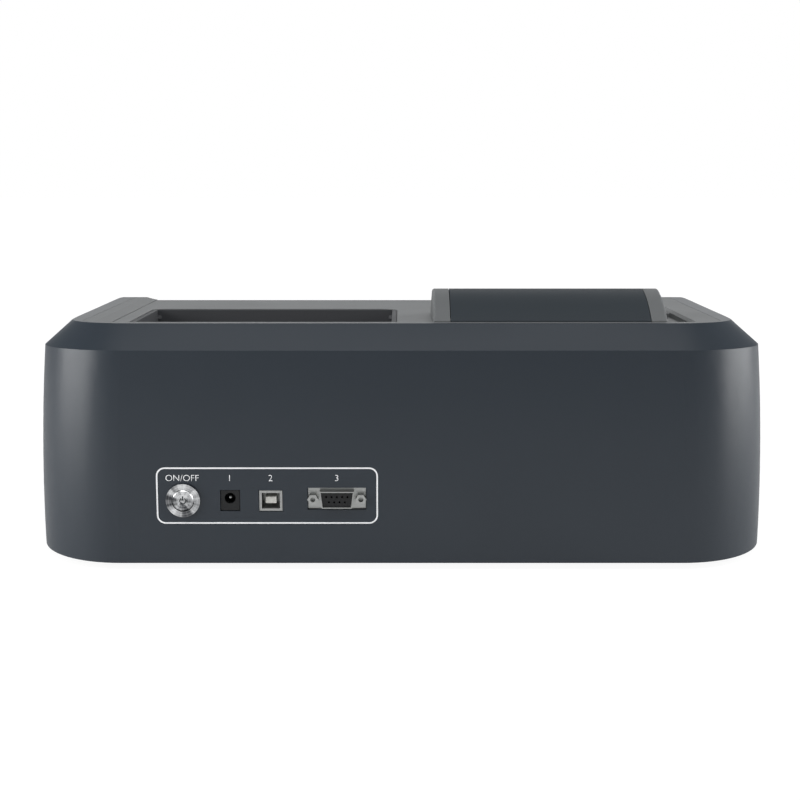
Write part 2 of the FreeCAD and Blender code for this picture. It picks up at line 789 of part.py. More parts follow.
def deck_plate(label, rail, front_rail, rear_rail, rear_radius, front_radius, top, bottom):
    """A plate that follows the deck, the crease and the front slope between two depths."""
    plate = plan_body(label, f"-(panel_half_width + {rail})",
                      f"-(body_depth / 2 - panel_front_gap + {front_rail})",
                      f"(panel_half_width + {rail})", f"({behind('panel_rear_gap')} + {rear_rail})",
                      40, 160, rear_radius, front_radius)
    trim_roof(plate, top)
    trim_roof(plate, bottom, below=True)
    return plate


upper_plate = deck_plate("panel_upper", "(-panel_fit)", "(-panel_fit)", "(-panel_fit)",
                         "panel_rear_radius", "panel_front_radius", 0, "wall")
sunken = Profile(upper_plate, "YZ", "rim_right_x")
deck_edge, _, front_edge = roof_line(sunken, behind("hood_rear_gap"), -190, "sunken_depth")
join_ends(sunken, [(front_edge, 2), ("-190", "230"), (behind("hood_rear_gap"), "230"), (deck_edge, 1)])
pocket(sunken, "rim_right_x - rim_left_x")


def roof_height(y):
    """Height of the housing's outer roof at y."""
    tilt, steep = math.radians(size("deck_tilt")), math.radians(size("front_tilt"))
    crease_y = worth(CREASE)
    fall = math.tan(tilt) if y > crease_y else math.tan(steep)
    return worth(deck(CREASE)) + fall * (y - crease_y)


def rim_edge(x):
    """A test for the upper edges of the sunken area's side wall at x."""
    return lambda e: (all(abs(v.X - x) < 0.01 for v in e.Vertexes)
                      and e.CenterOfMass.z > roof_height(e.CenterOfMass.y) - 1.3 and e.Length > 4)


dress(upper_plate, "Chamfer", rim_edge(size("rim_right_x")), Size="rim_slope_width", Size2="rim_slope_drop")
dress(upper_plate, "Chamfer", rim_edge(size("rim_left_x")), Size="1.2", Size2="1.6")
flange_plate = deck_plate("panel_flange", "panel_rail", "panel_rail_front", "panel_rail_rear",
                          "panel_rear_radius + 12", "panel_front_radius + 3", "wall", "panel_thickness")


def hood_outline(profile, inset, rear_y, front_y, bottom_rear, bottom_front):
    """The hood's outline: an arched top, a rounded shoulder and a straight front slope."""
    tilt = math.radians(size("hood_front_tilt"))
    arch = f"(hood_radius - ({inset}))"
    shoulder = f"(hood_shoulder_radius - ({inset}))"
    centre_y, centre_z = behind("hood_arc_back"), "(foot_height + hood_crest - hood_radius)"
    toe_y = f"({behind('hood_front_gap')} + ({inset}) * sin(hood_front_tilt))"
    toe_z = f"({deck(behind('hood_front_gap'))} - ({inset}) * cos(hood_front_tilt))"
    centre = FreeCAD.Vector(worth(centre_y), worth(centre_z), 0)
    toe = FreeCAD.Vector(worth(toe_y), worth(toe_z), 0)
    along = FreeCAD.Vector(math.cos(tilt), math.sin(tilt), 0)
    outward = FreeCAD.Vector(-math.sin(tilt), math.cos(tilt), 0)
    big, small = worth(arch), worth(shoulder)
    start = toe - outward * small - centre
    half = start.dot(along)
    step = -half + math.sqrt(half ** 2 - start.dot(start) + (big - small) ** 2)
    inner = centre + start + along * step
    meet = centre + (inner - centre).normalize() * big
    leave = inner + outward * small
    back, fore = worth(rear_y), worth(front_y)
    top_rear = FreeCAD.Vector(back, centre.y + math.sqrt(big ** 2 - (back - centre.x) ** 2), 0)
    top_front = FreeCAD.Vector(fore, toe.y + math.tan(tilt) * (fore - toe.x), 0)
    low_front = FreeCAD.Vector(fore, worth(bottom_front), 0)
    low_rear = FreeCAD.Vector(back, worth(bottom_rear), 0)

    def turn(point, middle):
        return math.atan2(point.y - middle.y, point.x - middle.x)

    axis = FreeCAD.Vector(0, 0, 1)
    add = profile.sketch.addGeometry
    top = add(Part.ArcOfCircle(Part.Circle(centre, axis, big), turn(top_rear, centre),
                               turn(meet, centre)), False)
    bend = add(Part.ArcOfCircle(Part.Circle(inner, axis, small), turn(meet, inner),
                                turn(leave, inner)), False)
    slope = add(Part.LineSegment(leave, top_front), False)
    nose = add(Part.LineSegment(top_front, low_front), False)
    floor = add(Part.LineSegment(low_front, low_rear), False)
    back_wall = add(Part.LineSegment(low_rear, top_rear), False)
    marks = [add(Part.Point(toe), True), add(Part.Point(toe + along * 40), True)]
    profile.place(marks[0], 1, toe_y, toe_z)
    profile.place(marks[1], 1, f"({toe_y} + 40 * cos(hood_front_tilt))",
                  f"({toe_z} + 40 * sin(hood_front_tilt))")
    profile.rule("PointOnObject", marks[0], 1, slope)
    profile.rule("PointOnObject", marks[1], 1, slope)
    profile.place(top, 3, centre_y, centre_z)
    profile.tie("Radius", top, formula=arch)
    profile.tie("Radius", bend, formula=shoulder)
    profile.rule("Tangent", top, 2, bend, 1)
    profile.rule("Tangent", bend, 2, slope, 1)
    profile.rule("Coincident", slope, 2, nose, 1)
    profile.rule("Coincident", nose, 2, floor, 1)
    profile.rule("Coincident", floor, 2, back_wall, 1)
    profile.rule("Coincident", back_wall, 2, top, 1)
    profile.rule("Vertical", nose)
    profile.rule("Vertical", back_wall)
    profile.place(floor, 1, front_y, bottom_front)
    profile.place(floor, 2, rear_y, bottom_rear)


HOOD_REAR, HOOD_FRONT = behind("hood_rear_gap"), behind("hood_front_gap")


def cheek(label, left, right, outside):
    """One fixed side of the hood, its outer top edge rounded."""
    body = new_body(label)
    side = Profile(body, "YZ", left)
    hood_outline(side, 0, HOOD_REAR, HOOD_FRONT, deck(HOOD_REAR, "wall"), deck(HOOD_FRONT, "wall"))
    pad(side, f"({right}) - ({left})")
    at = worth(outside)
    dress(body, "Fillet", lambda e: all(abs(v.X - at) < 0.01 for v in e.Vertexes)
          and e.CenterOfMass.z > roof_height(e.CenterOfMass.y) + 1 and not upright(e), Radius=1.5)
    return body


left_cheek = cheek("cheek_left", "hood_left", "lid_left", "hood_left")
right_cheek = cheek("cheek_right", "lid_right", "hood_right", "hood_right")
hinge_pins = []
for side in ("left", "right"):
    start = f"(lid_{side} - hinge_pin_length / 2)"
    hinge_pins.append(rod(f"hinge_pin_{side}", start, HINGE_Y, HINGE_Z, "hinge_pin_radius",
                          "hinge_pin_length", "x"))
hinge_pin_group = group("lid_hinge_pins", *hinge_pins)
keep(hinge_pin_group)
recess_opening = plan_body("recess_opening", "display_left", behind("display_front_gap"), "display_right",
                           behind("display_rear_gap"), 60, 160, 6, 9)
lid_opening = block("lid_opening", "lid_left", HOOD_FRONT, 60, "lid_right", f"{HOOD_REAR} + lid_gap", 160)
side_pocket = on_slope(
    block("side_pocket", "rim_left_x", "-side_pocket_end", "-side_pocket_depth", "hood_left",
          "-hood_rear_gap", 3), REAR, deck(REAR), "deck_tilt")
bind(side_pocket, "Placement.Base.y", f"{REAR} - side_pocket_end * cos(deck_tilt)"
     " + side_pocket_depth * sin(deck_tilt)")
bind(side_pocket, "Placement.Base.z", f"{deck(REAR)} - side_pocket_end * sin(deck_tilt)"
     " - side_pocket_depth * cos(deck_tilt)")
scoop = rod("finger_scoop", "carousel_x - 16", f"{HOOD_FRONT} - 2", f"{deck(HOOD_FRONT, 'sunken_depth')} + 6",
            8.2, 32, "x")
panel_solid = joined("panel_solid", upper_plate, flange_plate, left_cheek, right_cheek)
keep(cut_from("deck_panel", panel_solid, recess_opening, lid_opening, side_pocket, scoop, *hinge_pins))

# Lid and liner

LID_FRONT = f"({HOOD_FRONT} + 0.5)"


def lid_body(label, inset, left, right, rear_y, front_y, bottom_rear, bottom_front, thick):
    """A cover with the hood's outline, open at the bottom, its walls of one thickness."""
    body = new_body(label)
    side = Profile(body, "YZ", left)
    hood_outline(side, inset, rear_y, front_y, bottom_rear, bottom_front)
    pad(side, f"({right}) - ({left})")
    inside = Profile(body, "YZ", f"({right}) - {thick}")
    hood_outline(inside, f"({inset} + {thick})", f"({rear_y} - {thick})", f"({front_y} + {thick})",
                 f"({bottom_rear} - 12)", f"({bottom_front} - 12)")
    pocket(inside, f"({right}) - ({left}) - 2 * {thick}")
    return body


lid_shell = lid_body("lid_shell", 0, "(lid_left + lid_gap)", "(lid_right - lid_gap)", HOOD_REAR, LID_FRONT,
                     deck(HOOD_REAR, "lid_skirt"), deck(LID_FRONT, "lid_skirt"), "lid_wall")
lid_bosses = [
    rod("lid_boss_left", "lid_left + lid_gap + 1", HINGE_Y, HINGE_Z, "hinge_boss_radius",
        "hinge_boss_length", "x"),
    rod("lid_boss_right", "lid_right - lid_gap - 1 - hinge_boss_length", HINGE_Y, HINGE_Z,
        "hinge_boss_radius", "hinge_boss_length", "x")]
lid_bores = [
    rod("lid_bore_left", "lid_left", HINGE_Y, HINGE_Z, "hinge_pin_radius + running_clearance",
        "hinge_pin_length / 2 + 0.4", "x"),
    rod("lid_bore_right", "lid_right - hinge_pin_length / 2 - 0.4", HINGE_Y, HINGE_Z,
        "hinge_pin_radius + running_clearance", "hinge_pin_length / 2 + 0.4", "x")]
keep(cut_from("lid", joined("lid_with_bosses", lid_shell, *lid_bosses), *lid_bores))

LINER_BOTTOM = "(tub_rim + seal_height + seal_gap)"
keep(lid_body("lid_liner", "(lid_wall + 0.1)", "(lid_left + lid_gap + lid_wall + 0.1)",
              "(lid_right - lid_gap - lid_wall - 0.1)", "(tub_rear + 2)", "(tub_front - 0.6)",
              LINER_BOTTOM, LINER_BOTTOM, "liner_wall"))

# Cell compartment

tub_places = corners("tub_left + 9", "tub_front + 9", "tub_right - 9", "tub_rear - 9")
tub_screws = group("tub_screws", *screws("tub_screw", tub_places, f"({BENCH_TOP} + tub_wall)"))
tub_block = block("tub_block", "tub_left", "tub_front", BENCH_TOP, "tub_right", "tub_rear", "tub_rim")
tub_shelf = block("tub_shelf", "tub_left - tub_flange_out", "tub_front - tub_flange_out",
                  "tub_rim - tub_flange", "tub_right + tub_flange_out", "tub_rear + tub_apron", "tub_rim")
tub_room = block("tub_room", "tub_left + tub_wall", "tub_front + tub_wall", f"{BENCH_TOP} + tub_wall",
                 "tub_right - tub_wall", "tub_rear - tub_wall", "tub_rim + 5")
tub_beam = rod("tub_beam", "tub_left - 10", BEAM_Y, "beam_height", "beam_hole_radius",
               "tub_right - tub_left + 20", "x")
tub_shaft = rod("tub_shaft", "carousel_x", "carousel_y", BENCH_TOP, 4, 6)
keep(cut_from("compartment_tub", joined("tub_outside", tub_block, tub_shelf), tub_room, tub_beam,
              tub_shaft, tub_screws))
seal_outer = block("seal_outer", "tub_left - 2.5", "tub_front - 2.5", "tub_rim", "tub_right + 2.5",
                   "tub_rear + 2.5", "tub_rim + seal_height")
seal_inner = block("seal_inner", "tub_left + 1.5", "tub_front + 1.5", "tub_rim - 1", "tub_right - 1.5",
                   "tub_rear - 1.5", "tub_rim + seal_height + 1")
keep(cut_from("lid_seal", seal_outer, seal_inner))
windows = [rod("window_left", "tub_left - 2", BEAM_Y, "beam_height", "beam_hole_radius + 2", 2, "x"),
           rod("window_right", "tub_right", BEAM_Y, "beam_height", "beam_hole_radius + 2", 2, "x")]
keep(group("beam_windows", *windows))

MOTOR_BOTTOM = f"({BENCH_TOP} - stepper_height)"
hub_rods = [
    rod("hub_base", "carousel_x", "carousel_y", CAROUSEL_BOTTOM, "carousel_radius", "carousel_base"),
    rod("hub_post", "carousel_x", "carousel_y", CELL_FLOOR, "carousel_post_radius", "carousel_post"),
    rod("hub_neck", "carousel_x", "carousel_y", PLATE_BOTTOM, "carousel_neck_radius", "carousel_plate + 1"),
    rod("hub_knob", "carousel_x", "carousel_y", f"{PLATE_BOTTOM} + carousel_plate", 7, 9),
    rod("hub_shaft", "carousel_x", "carousel_y", f"{MOTOR_BOTTOM} + 6", "cell_shaft_radius",
        f"{CAROUSEL_BOTTOM} - {MOTOR_BOTTOM} - 6")]
keep(joined("carousel_hub", *hub_rods))
plate = new_body("carousel_plate")
pad(Profile(plate, "XY", PLATE_BOTTOM).circle("carousel_x", "carousel_y", "carousel_radius")
    .circle("carousel_x", "carousel_y", "carousel_neck_radius"), "carousel_plate")
cells = Profile(plate, "XY", f"{PLATE_BOTTOM} + carousel_plate")
for i in range(int(size("cell_count"))):
    turn = f"({i} * 360 / cell_count - 90)"
    spots = []
    for out, across in ((-1, -1), (1, -1), (1, 1), (-1, 1)):
        reach = f"(cell_radius + {out} * cell_size / 2)"
        shift = f"({across} * cell_size / 2)"
        spots.append((f"(carousel_x + {reach} * cos({turn}) - {shift} * sin({turn}))",
                      f"(carousel_y + {reach} * sin({turn}) + {shift} * cos({turn}))"))
    cells.polygon(spots)
pocket(cells, "carousel_plate + 1")
keep(plate)
carousel_bore = rod("carousel_bore", "carousel_x", "carousel_y", f"{MOTOR_BOTTOM} + 5",
                    "cell_shaft_radius + running_clearance", "stepper_height")
keep(cut_from("carousel_motor", rod("carousel_motor_can", "carousel_x", "carousel_y", MOTOR_BOTTOM,
                                    "stepper_radius", "stepper_height"), carousel_bore))

# Optical bench and its posts

GEAR_REACH = "(gear_module * (gear_teeth + pinion_teeth) / 2)"
PINION_X = f"(grating_x + {GEAR_REACH} * cos(pinion_direction))"
PINION_Y = f"(grating_y + {GEAR_REACH} * sin(pinion_direction))"
CASE_FLOOR = f"({BENCH_TOP} + case_wall)"
CASE_TOP = f"({BENCH_TOP} + case_height)"
COVER_TOP = f"({CASE_TOP} + cover_thickness)"
case_places = [("case_left + 7", "case_front + 13"), ("case_right - 28", "case_front + 7"),
               ("case_right - 28", "case_rear - 7"), ("case_left + 7", "case_rear - 7")]
case_screws = group("case_screws", *screws("case_screw", case_places, CASE_FLOOR))
cover_places = corners("case_left + 5", "case_front + 5", "case_right - 5", "case_rear - 5")
cover_screws = group("cover_screws", *screws("cover_screw", cover_places, COVER_TOP))
LAMP_FRONT, LAMP_REAR = "(lamp_y - lamp_house_half)", "(lamp_y + lamp_house_half)"
LAMP_LEFT, LAMP_RIGHT = "(lamp_x - lamp_house_half)", "(lamp_x + lamp_house_half)"
BRACKET_Y = "(filter_wheel_y + 4)"
bracket_places = [("lamp_x - 12", f"{BRACKET_Y} + 8"), ("lamp_x + 6", f"{BRACKET_Y} + 8")]
bracket_screws = group("bracket_screws", *screws("bracket_screw", bracket_places, f"({BENCH_TOP} + 3)"))

bench_solid = joined(
    "bench_solid",
    block("bench_slab", "bench_left", "bench_step", "bench_bottom", "bench_right", "bench_rear", BENCH_TOP),
    block("bench_tongue", "tongue_left", "bench_front", "bench_bottom", "tongue_right",
          "bench_step + 10", BENCH_TOP))
bench_holes = [
    rod("bench_motor_hole", "carousel_x", "carousel_y", "bench_bottom - 1", "stepper_radius + 2", 8),
    rod("bench_table_hole", "grating_x", "grating_y", "bench_bottom - 1",
        "table_shaft_radius + running_clearance", 8),
    rod("bench_pinion_hole", PINION_X, PINION_Y, "bench_bottom - 1", 3, 8)]
keep(cut_from("optics_plate", bench_solid, *bench_holes, bench_screws, tub_screws, case_screws,
              bracket_screws))
posts = [cut_from(f"bench_post_{i}",
                  rod(f"bench_post_rod_{i}", x, y, PAN_TOP, 5, f"bench_bottom - {PAN_TOP}"),
                  rod(f"bench_post_bore_{i}", x, y, f"{BENCH_TOP} - screw_length", "screw_radius", 8))
         for i, (x, y) in enumerate(BENCH_POSTS, start=1)]
keep(group("bench_posts", *posts))

# Monochromator

MIRROR_ONE_TURN, MIRROR_TWO_TURN = -5.6, 5.5
GRATING_FLOOR = f"({CASE_FLOOR} + 1.5)"
case_block = block("case_block", "case_left", "case_front", BENCH_TOP, "case_right", "case_rear", CASE_TOP)
case_room = block("case_room", "case_left + case_wall", "case_front + case_wall", CASE_FLOOR,
                  "case_right - case_wall", "case_rear - case_wall", f"{CASE_TOP} + 5")
case_posts = [rod(f"case_post_{i}", x, y, BENCH_TOP, 4, "case_height")
              for i, (x, y) in enumerate(cover_places, start=1)]


def mirror_stand(label, x, y, angle):
    """An upright post behind a mirror whose face stands at the origin and looks to -X."""
    stand = block(label + "_block", "mirror_thickness", "-mirror_radius", BENCH_TOP,
                  "mirror_thickness + 4", "mirror_radius", "beam_height + mirror_radius")
    return turned(group(label, stand), x, y, angle)


def mirror_disc(label, x, y, angle):
    """A round mirror whose face stands at the origin and looks to -X."""
    disc = rod(label + "_disc", 0, 0, "beam_height", "mirror_radius", "mirror_thickness", "x")
    return turned(group(label, disc), x, y, angle)


fold_stand = turned(group("fold_stand", block("fold_stand_block", 3, -5, BENCH_TOP, 6, 5, "beam_height + 6")),
                    "lamp_x", "fold_y", 135)
stands = [mirror_stand("first_stand", "mirror_x", "fold_y", MIRROR_ONE_TURN),
          mirror_stand("second_stand", "mirror_x", BEAM_Y, MIRROR_TWO_TURN), fold_stand]
case_openings = [
    rod("entrance_hole", "lamp_x", "case_front - 2", "beam_height", 3, 8, "y"),
    rod("exit_hole", "case_left - 2", BEAM_Y, "beam_height", "beam_hole_radius", 8, "x"),
    rod("table_hole", "grating_x", "grating_y", f"{BENCH_TOP} - 1", 5, 8)]
keep(cut_from("monochromator_case",
              joined("case_solid", cut_from("case_walls", case_block, case_room), *case_posts, *stands),
              *case_openings, case_screws, cover_screws))
keep(cut_from("monochromator_cover", block("cover_block", "case_left", "case_front", CASE_TOP,
                                           "case_right", "case_rear", COVER_TOP), cover_screws))
keep(mirror_disc("collimating_mirror", "mirror_x", "fold_y", MIRROR_ONE_TURN))
keep(mirror_disc("focusing_mirror", "mirror_x", BEAM_Y, MIRROR_TWO_TURN))
keep(turned(group("fold_mirror", block("fold_glass", 0, -6, "beam_height - 6", 3, 6, "beam_height + 6")),
            "lamp_x", "fold_y", 135))
slit_plate = block("slit_plate", "lamp_x - 7", "case_front - 1.5", "beam_height - 7", "lamp_x + 7",
                   "case_front", "beam_height + 7")
slit_gap = block("slit_gap", "lamp_x - 0.5", "case_front - 2", "beam_height - 4", "lamp_x + 0.5",
                 "case_front + 1", "beam_height + 4")
keep(cut_from("entrance_slit", slit_plate, slit_gap))
exit_plate = block("exit_plate", "case_left + case_wall", f"{BEAM_Y} - 8", "beam_height - 8",
                   "case_left + case_wall + 1.5", f"{BEAM_Y} + 8", "beam_height + 8")
exit_gap = block("exit_gap", "case_left", f"{BEAM_Y} - 0.5", "beam_height - 4", "case_left + 8",
                 f"{BEAM_Y} + 0.5", "beam_height + 4")
keep(cut_from("exit_slit", exit_plate, exit_gap))
tube_outer = rod("tube_outer", "tub_right + 2", BEAM_Y, "beam_height", "beam_hole_radius + 2",
                 "case_left - tub_right - 2", "x")
tube_inner = rod("tube_inner", "tub_right", BEAM_Y, "beam_height", "beam_hole_radius", 40, "x")
keep(cut_from("light_tube", tube_outer, tube_inner))

# Grating, its table and the sector gear drive

grating_block = block("grating_block", "grating_x - grating_thickness", "grating_y - grating_size / 2",
                      "beam_height - grating_size / 2", "grating_x", "grating_y + grating_size / 2",
                      "beam_height + grating_size / 2")
keep(group("grating", grating_block))
table_parts = [
    rod("table_shaft", "grating_x", "grating_y", "gear_bottom", "table_shaft_radius",
        f"{GRATING_FLOOR} - gear_bottom"),
    rod("table_disc", "grating_x", "grating_y", GRATING_FLOOR, "table_radius", 4),
    block("table_ledge", "grating_x - grating_thickness - 4", "grating_y - 7", f"{GRATING_FLOOR} + 3",
          "grating_x", "grating_y + 7", "beam_height - grating_size / 2"),
    block("table_back", "grating_x - grating_thickness - 4", "grating_y - 7", f"{GRATING_FLOOR} + 3",
          "grating_x - grating_thickness", "grating_y + 7", "beam_height + grating_size / 2 - 3")]
keep(joined("grating_table", *table_parts))


def tooth_outline(teeth, module, backlash, addendum):
    """Half-angle of an involute tooth at radii from its root to its tip."""
    pressure = math.radians(20)
    pitch = module * teeth / 2
    base = pitch * math.cos(pressure)
    root, tip = pitch - 1.3 * module, pitch + addendum * module
    half_pitch = math.pi / (2 * teeth) - backlash / (2 * pitch)
    at_pitch = math.tan(pressure) - pressure
    outline = []
    for step in range(7):
        radius = root + (tip - root) * step / 6
        unwound = math.acos(min(1.0, base / radius))
        outline.append((radius, half_pitch + at_pitch - (math.tan(unwound) - unwound)))
    return outline


def toothed_wheel(label, x, y, bottom, height, teeth, first, count, hub, bore):
    """A spur gear, or a sector of one, set out from the sheet's sizes."""
    module = size("gear_module")
    outline = tooth_outline(teeth, module, size("gear_backlash"), 0.9)
    step = 2 * math.pi / teeth
    full = count >= teeth
    spots = []
    for tooth in range(count):
        middle = math.radians(first) + tooth * step
        spots += [(r, middle - half) for r, half in outline]
        spots += [(r, middle + half) for r, half in reversed(outline)]
    corner = [FreeCAD.Vector(r * math.cos(a), r * math.sin(a), 0) for r, a in spots]
    solid = None
    if full:
        solid = Part.Face(Part.makePolygon(corner + [corner[0]])).extrude(FreeCAD.Vector(0, 0, height))
    else:
        inner = 0.75 * hub
        start, end = spots[0][1], spots[-1][1]
        low = [FreeCAD.Vector(inner * math.cos(end), inner * math.sin(end), 0),
               FreeCAD.Vector(inner * math.cos(start), inner * math.sin(start), 0)]
        wire = Part.makePolygon(corner + low + [corner[0]])
        solid = Part.Face(wire).extrude(FreeCAD.Vector(0, 0, height))
        solid = solid.fuse(Part.makeCylinder(hub, height))
    solid = solid.cut(Part.makeCylinder(bore, height))
    wheel = doc.addObject("Part::Feature", label)
    wheel.Shape = solid
    bind(wheel, "Placement.Base.x", x)
    bind(wheel, "Placement.Base.y", y)
    bind(wheel, "Placement.Base.z", bottom)
    return wheel


teeth_in_sector = int(size("gear_sector") / 360 * size("gear_teeth"))
tooth_step = 360 / size("gear_teeth")
sector_start = size("pinion_direction") - (teeth_in_sector - 1) / 2 * tooth_step
keep(toothed_wheel("grating_gear", "grating_x", "grating_y", "gear_bottom", size("gear_height"),
                   int(size("gear_teeth")), sector_start, teeth_in_sector, 8, size("table_shaft_radius")))
pinion_step = 360 / size("pinion_teeth")
even_sector = teeth_in_sector % 2 == 1
pinion_start = size("pinion_direction") + 180 + (pinion_step / 2 if even_sector else 0)
pinion_wheel = toothed_wheel("pinion_wheel", PINION_X, PINION_Y, "gear_bottom", size("gear_height"),
                             int(size("pinion_teeth")), pinion_start, int(size("pinion_teeth")), 3, 1)
pinion_shaft = rod("pinion_shaft", PINION_X, PINION_Y, "gear_bottom", 1.5, f"{BENCH_TOP} + 10 - gear_bottom")
keep(joined("grating_pinion", pinion_wheel, pinion_shaft))
keep(cut_from("grating_motor", rod("grating_motor_can", PINION_X, PINION_Y, BENCH_TOP, "small_stepper_radius",
                                   "small_stepper_height"),
              rod("grating_motor_bore", PINION_X, PINION_Y, f"{BENCH_TOP} - 1",
                  "1.5 + running_clearance", 12)))

# Lamp, lens and filter wheel

house_outer = block("house_outer", LAMP_LEFT, LAMP_FRONT, BENCH_TOP, LAMP_RIGHT, LAMP_REAR,
                    f"{BENCH_TOP} + lamp_house_height")
house_inner = block("house_inner", f"{LAMP_LEFT} + 2", f"{LAMP_FRONT} + 2", f"{BENCH_TOP} - 1",
                    f"{LAMP_RIGHT} - 2", f"{LAMP_REAR} - 2", f"{BENCH_TOP} + lamp_house_height - 2")
house_vents = [block(f"house_vent_{i}", "lamp_x - 8", f"lamp_y + {shift} - 1.5", f"{BENCH_TOP} + 30",
                     "lamp_x + 8", f"lamp_y + {shift} + 1.5", f"{BENCH_TOP} + 60")
               for i, shift in enumerate((-8, -2, 4), start=1)]
lens_hole = rod("lens_hole", "lamp_x", f"{LAMP_REAR} - 4", "beam_height", 8, 8, "y")
keep(cut_from("lamp_house", house_outer, house_inner, lens_hole, *house_vents))
keep(joined("lamp_socket", rod("socket_foot", "lamp_x", "lamp_y", BENCH_TOP, 9, 8),
            rod("socket_collar", "lamp_x", "lamp_y", f"{BENCH_TOP} + 7", 6.5, 7)))
bulb = new_body("lamp_bulb")
capsule = Profile(bulb, "XZ", "-lamp_y")
BULB_FOOT = f"({BENCH_TOP} + 14)"
capsule.polygon([("lamp_x", BULB_FOOT), ("lamp_x + 4", BULB_FOOT),
                 ("lamp_x + lamp_radius", f"{BULB_FOOT} + 3"),
                 ("lamp_x + lamp_radius", "beam_height + 5"), ("lamp_x + 3", "beam_height + 9"),
                 ("lamp_x", "beam_height + 10")])
spin = bulb.newObject("PartDesign::Revolution", "Revolution")
spin.Profile = capsule.sketch
spin.ReferenceAxis = (capsule.sketch, ["Edge6"])
spin.Angle = 360
doc.recompute()
keep(bulb)
lens = new_body("condenser_lens")
pad(Profile(lens, "XZ", f"-({LAMP_REAR} - 2)").circle("lamp_x", "beam_height", 8), 5, back=True)
dress(lens, "Fillet", lambda e: True, Radius=2)
keep(lens)

WHEEL_Z = "(beam_height + filter_orbit)"
wheel = new_body("filter_wheel_disc")
disc = Profile(wheel, "XZ", "-(filter_wheel_y - filter_wheel_thickness / 2)")
disc.circle("lamp_x", WHEEL_Z, "filter_wheel_radius")
spots = []
for i in range(int(size("filter_count"))):
    turn = f"({i} * 360 / filter_count - 90)"
    spots.append((f"(lamp_x + filter_orbit * cos({turn}))", f"({WHEEL_Z} + filter_orbit * sin({turn}))"))
for across, up in spots:
    disc.circle(across, up, "filter_radius")
pad(disc, "filter_wheel_thickness", back=True)
wheel_shaft = rod("wheel_shaft", "lamp_x", "filter_wheel_y - 3.5", WHEEL_Z, 1.5, 15, "y")
wheel_hub = rod("wheel_hub", "lamp_x", "filter_wheel_y - 3.5", WHEEL_Z, 4, 6, "y")
keep(joined("filter_wheel", wheel, wheel_shaft, wheel_hub))
filters = [rod(f"filter_{i}", across, "filter_wheel_y - 1", up, "filter_radius", 2, "y")
           for i, (across, up) in enumerate(spots, start=1)]
keep(group("colour_filters", *filters))
bracket_solid = joined(
    "bracket_solid",
    block("bracket_plate", "lamp_x - 15", BRACKET_Y, BENCH_TOP, "lamp_x + 11", f"{BRACKET_Y} + 2",
          f"{WHEEL_Z} + 12"),
    block("bracket_foot", "lamp_x - 15", BRACKET_Y, BENCH_TOP, "lamp_x + 11", f"{BRACKET_Y} + 12",
          f"{BENCH_TOP} + 3"))
keep(cut_from("filter_bracket", bracket_solid, bracket_screws,
              rod("bracket_beam", "lamp_x", f"{BRACKET_Y} - 1", "beam_height", 4, 5, "y"),
              rod("bracket_shaft", "lamp_x", f"{BRACKET_Y} - 1", WHEEL_Z, 2.5, 5, "y")))
keep(cut_from("filter_motor", rod("filter_motor_can", "lamp_x", f"{BRACKET_Y} + 2", WHEEL_Z,
                                  "small_stepper_radius", "small_stepper_height", "y"),
              rod("filter_motor_bore", "lamp_x", f"{BRACKET_Y} + 1", WHEEL_Z, "1.5 + running_clearance",
                  8, "y")))

# Detector

DETECTOR_RIGHT = "(tub_left - 2)"
detector_solid = block("detector_solid", "bench_left + 14", f"{BEAM_Y} - 13", BENCH_TOP, DETECTOR_RIGHT,
                       f"{BEAM_Y} + 13", "beam_height + 14")
detector_bore = rod("detector_bore", "bench_left + 10", BEAM_Y, "beam_height", "beam_hole_radius", 40, "x")
keep(cut_from("detector_block", detector_solid, detector_bore))
keep(rod("photodiode", "bench_left + 14", BEAM_Y, "beam_height", "beam_hole_radius", 6, "x"))
keep(group("detector_board", block("detector_card", "bench_left + 14 - board_thickness", f"{BEAM_Y} - 13",
                                   BENCH_TOP, "bench_left + 14", f"{BEAM_Y} + 13", "beam_height + 14")))

# Display

SCREEN_Y = behind("(display_rear_gap + bezel_fit + bezel_wall)")
SCREEN_Z = deck(behind("display_rear_gap"), "display_drop")


def screen(y, drop=0):
    """Height of the display plane at y, or of a plane that far below it."""
    return f"({SCREEN_Z} - tan(display_tilt) * ({SCREEN_Y} - ({y})) - ({drop}) / cos(display_tilt))"


FIT_LEFT, FIT_RIGHT = "(display_left + bezel_fit)", "(display_right - bezel_fit)"
FIT_FRONT, FIT_REAR = behind("(display_front_gap - bezel_fit)"), behind("(display_rear_gap + bezel_fit)")
LEDGE = "(glass_thickness + ledge_thickness)"
bezel = plan_body("bezel_body", FIT_LEFT, FIT_FRONT, FIT_RIGHT, FIT_REAR, 60, 160, 5.7, 8.7)


def side_cut(body, left, right, points):
    """Cuts an outline drawn from the side through part of a body's width."""
    pocket(Profile(body, "YZ", right).polygon(points), f"({right}) - ({left})")


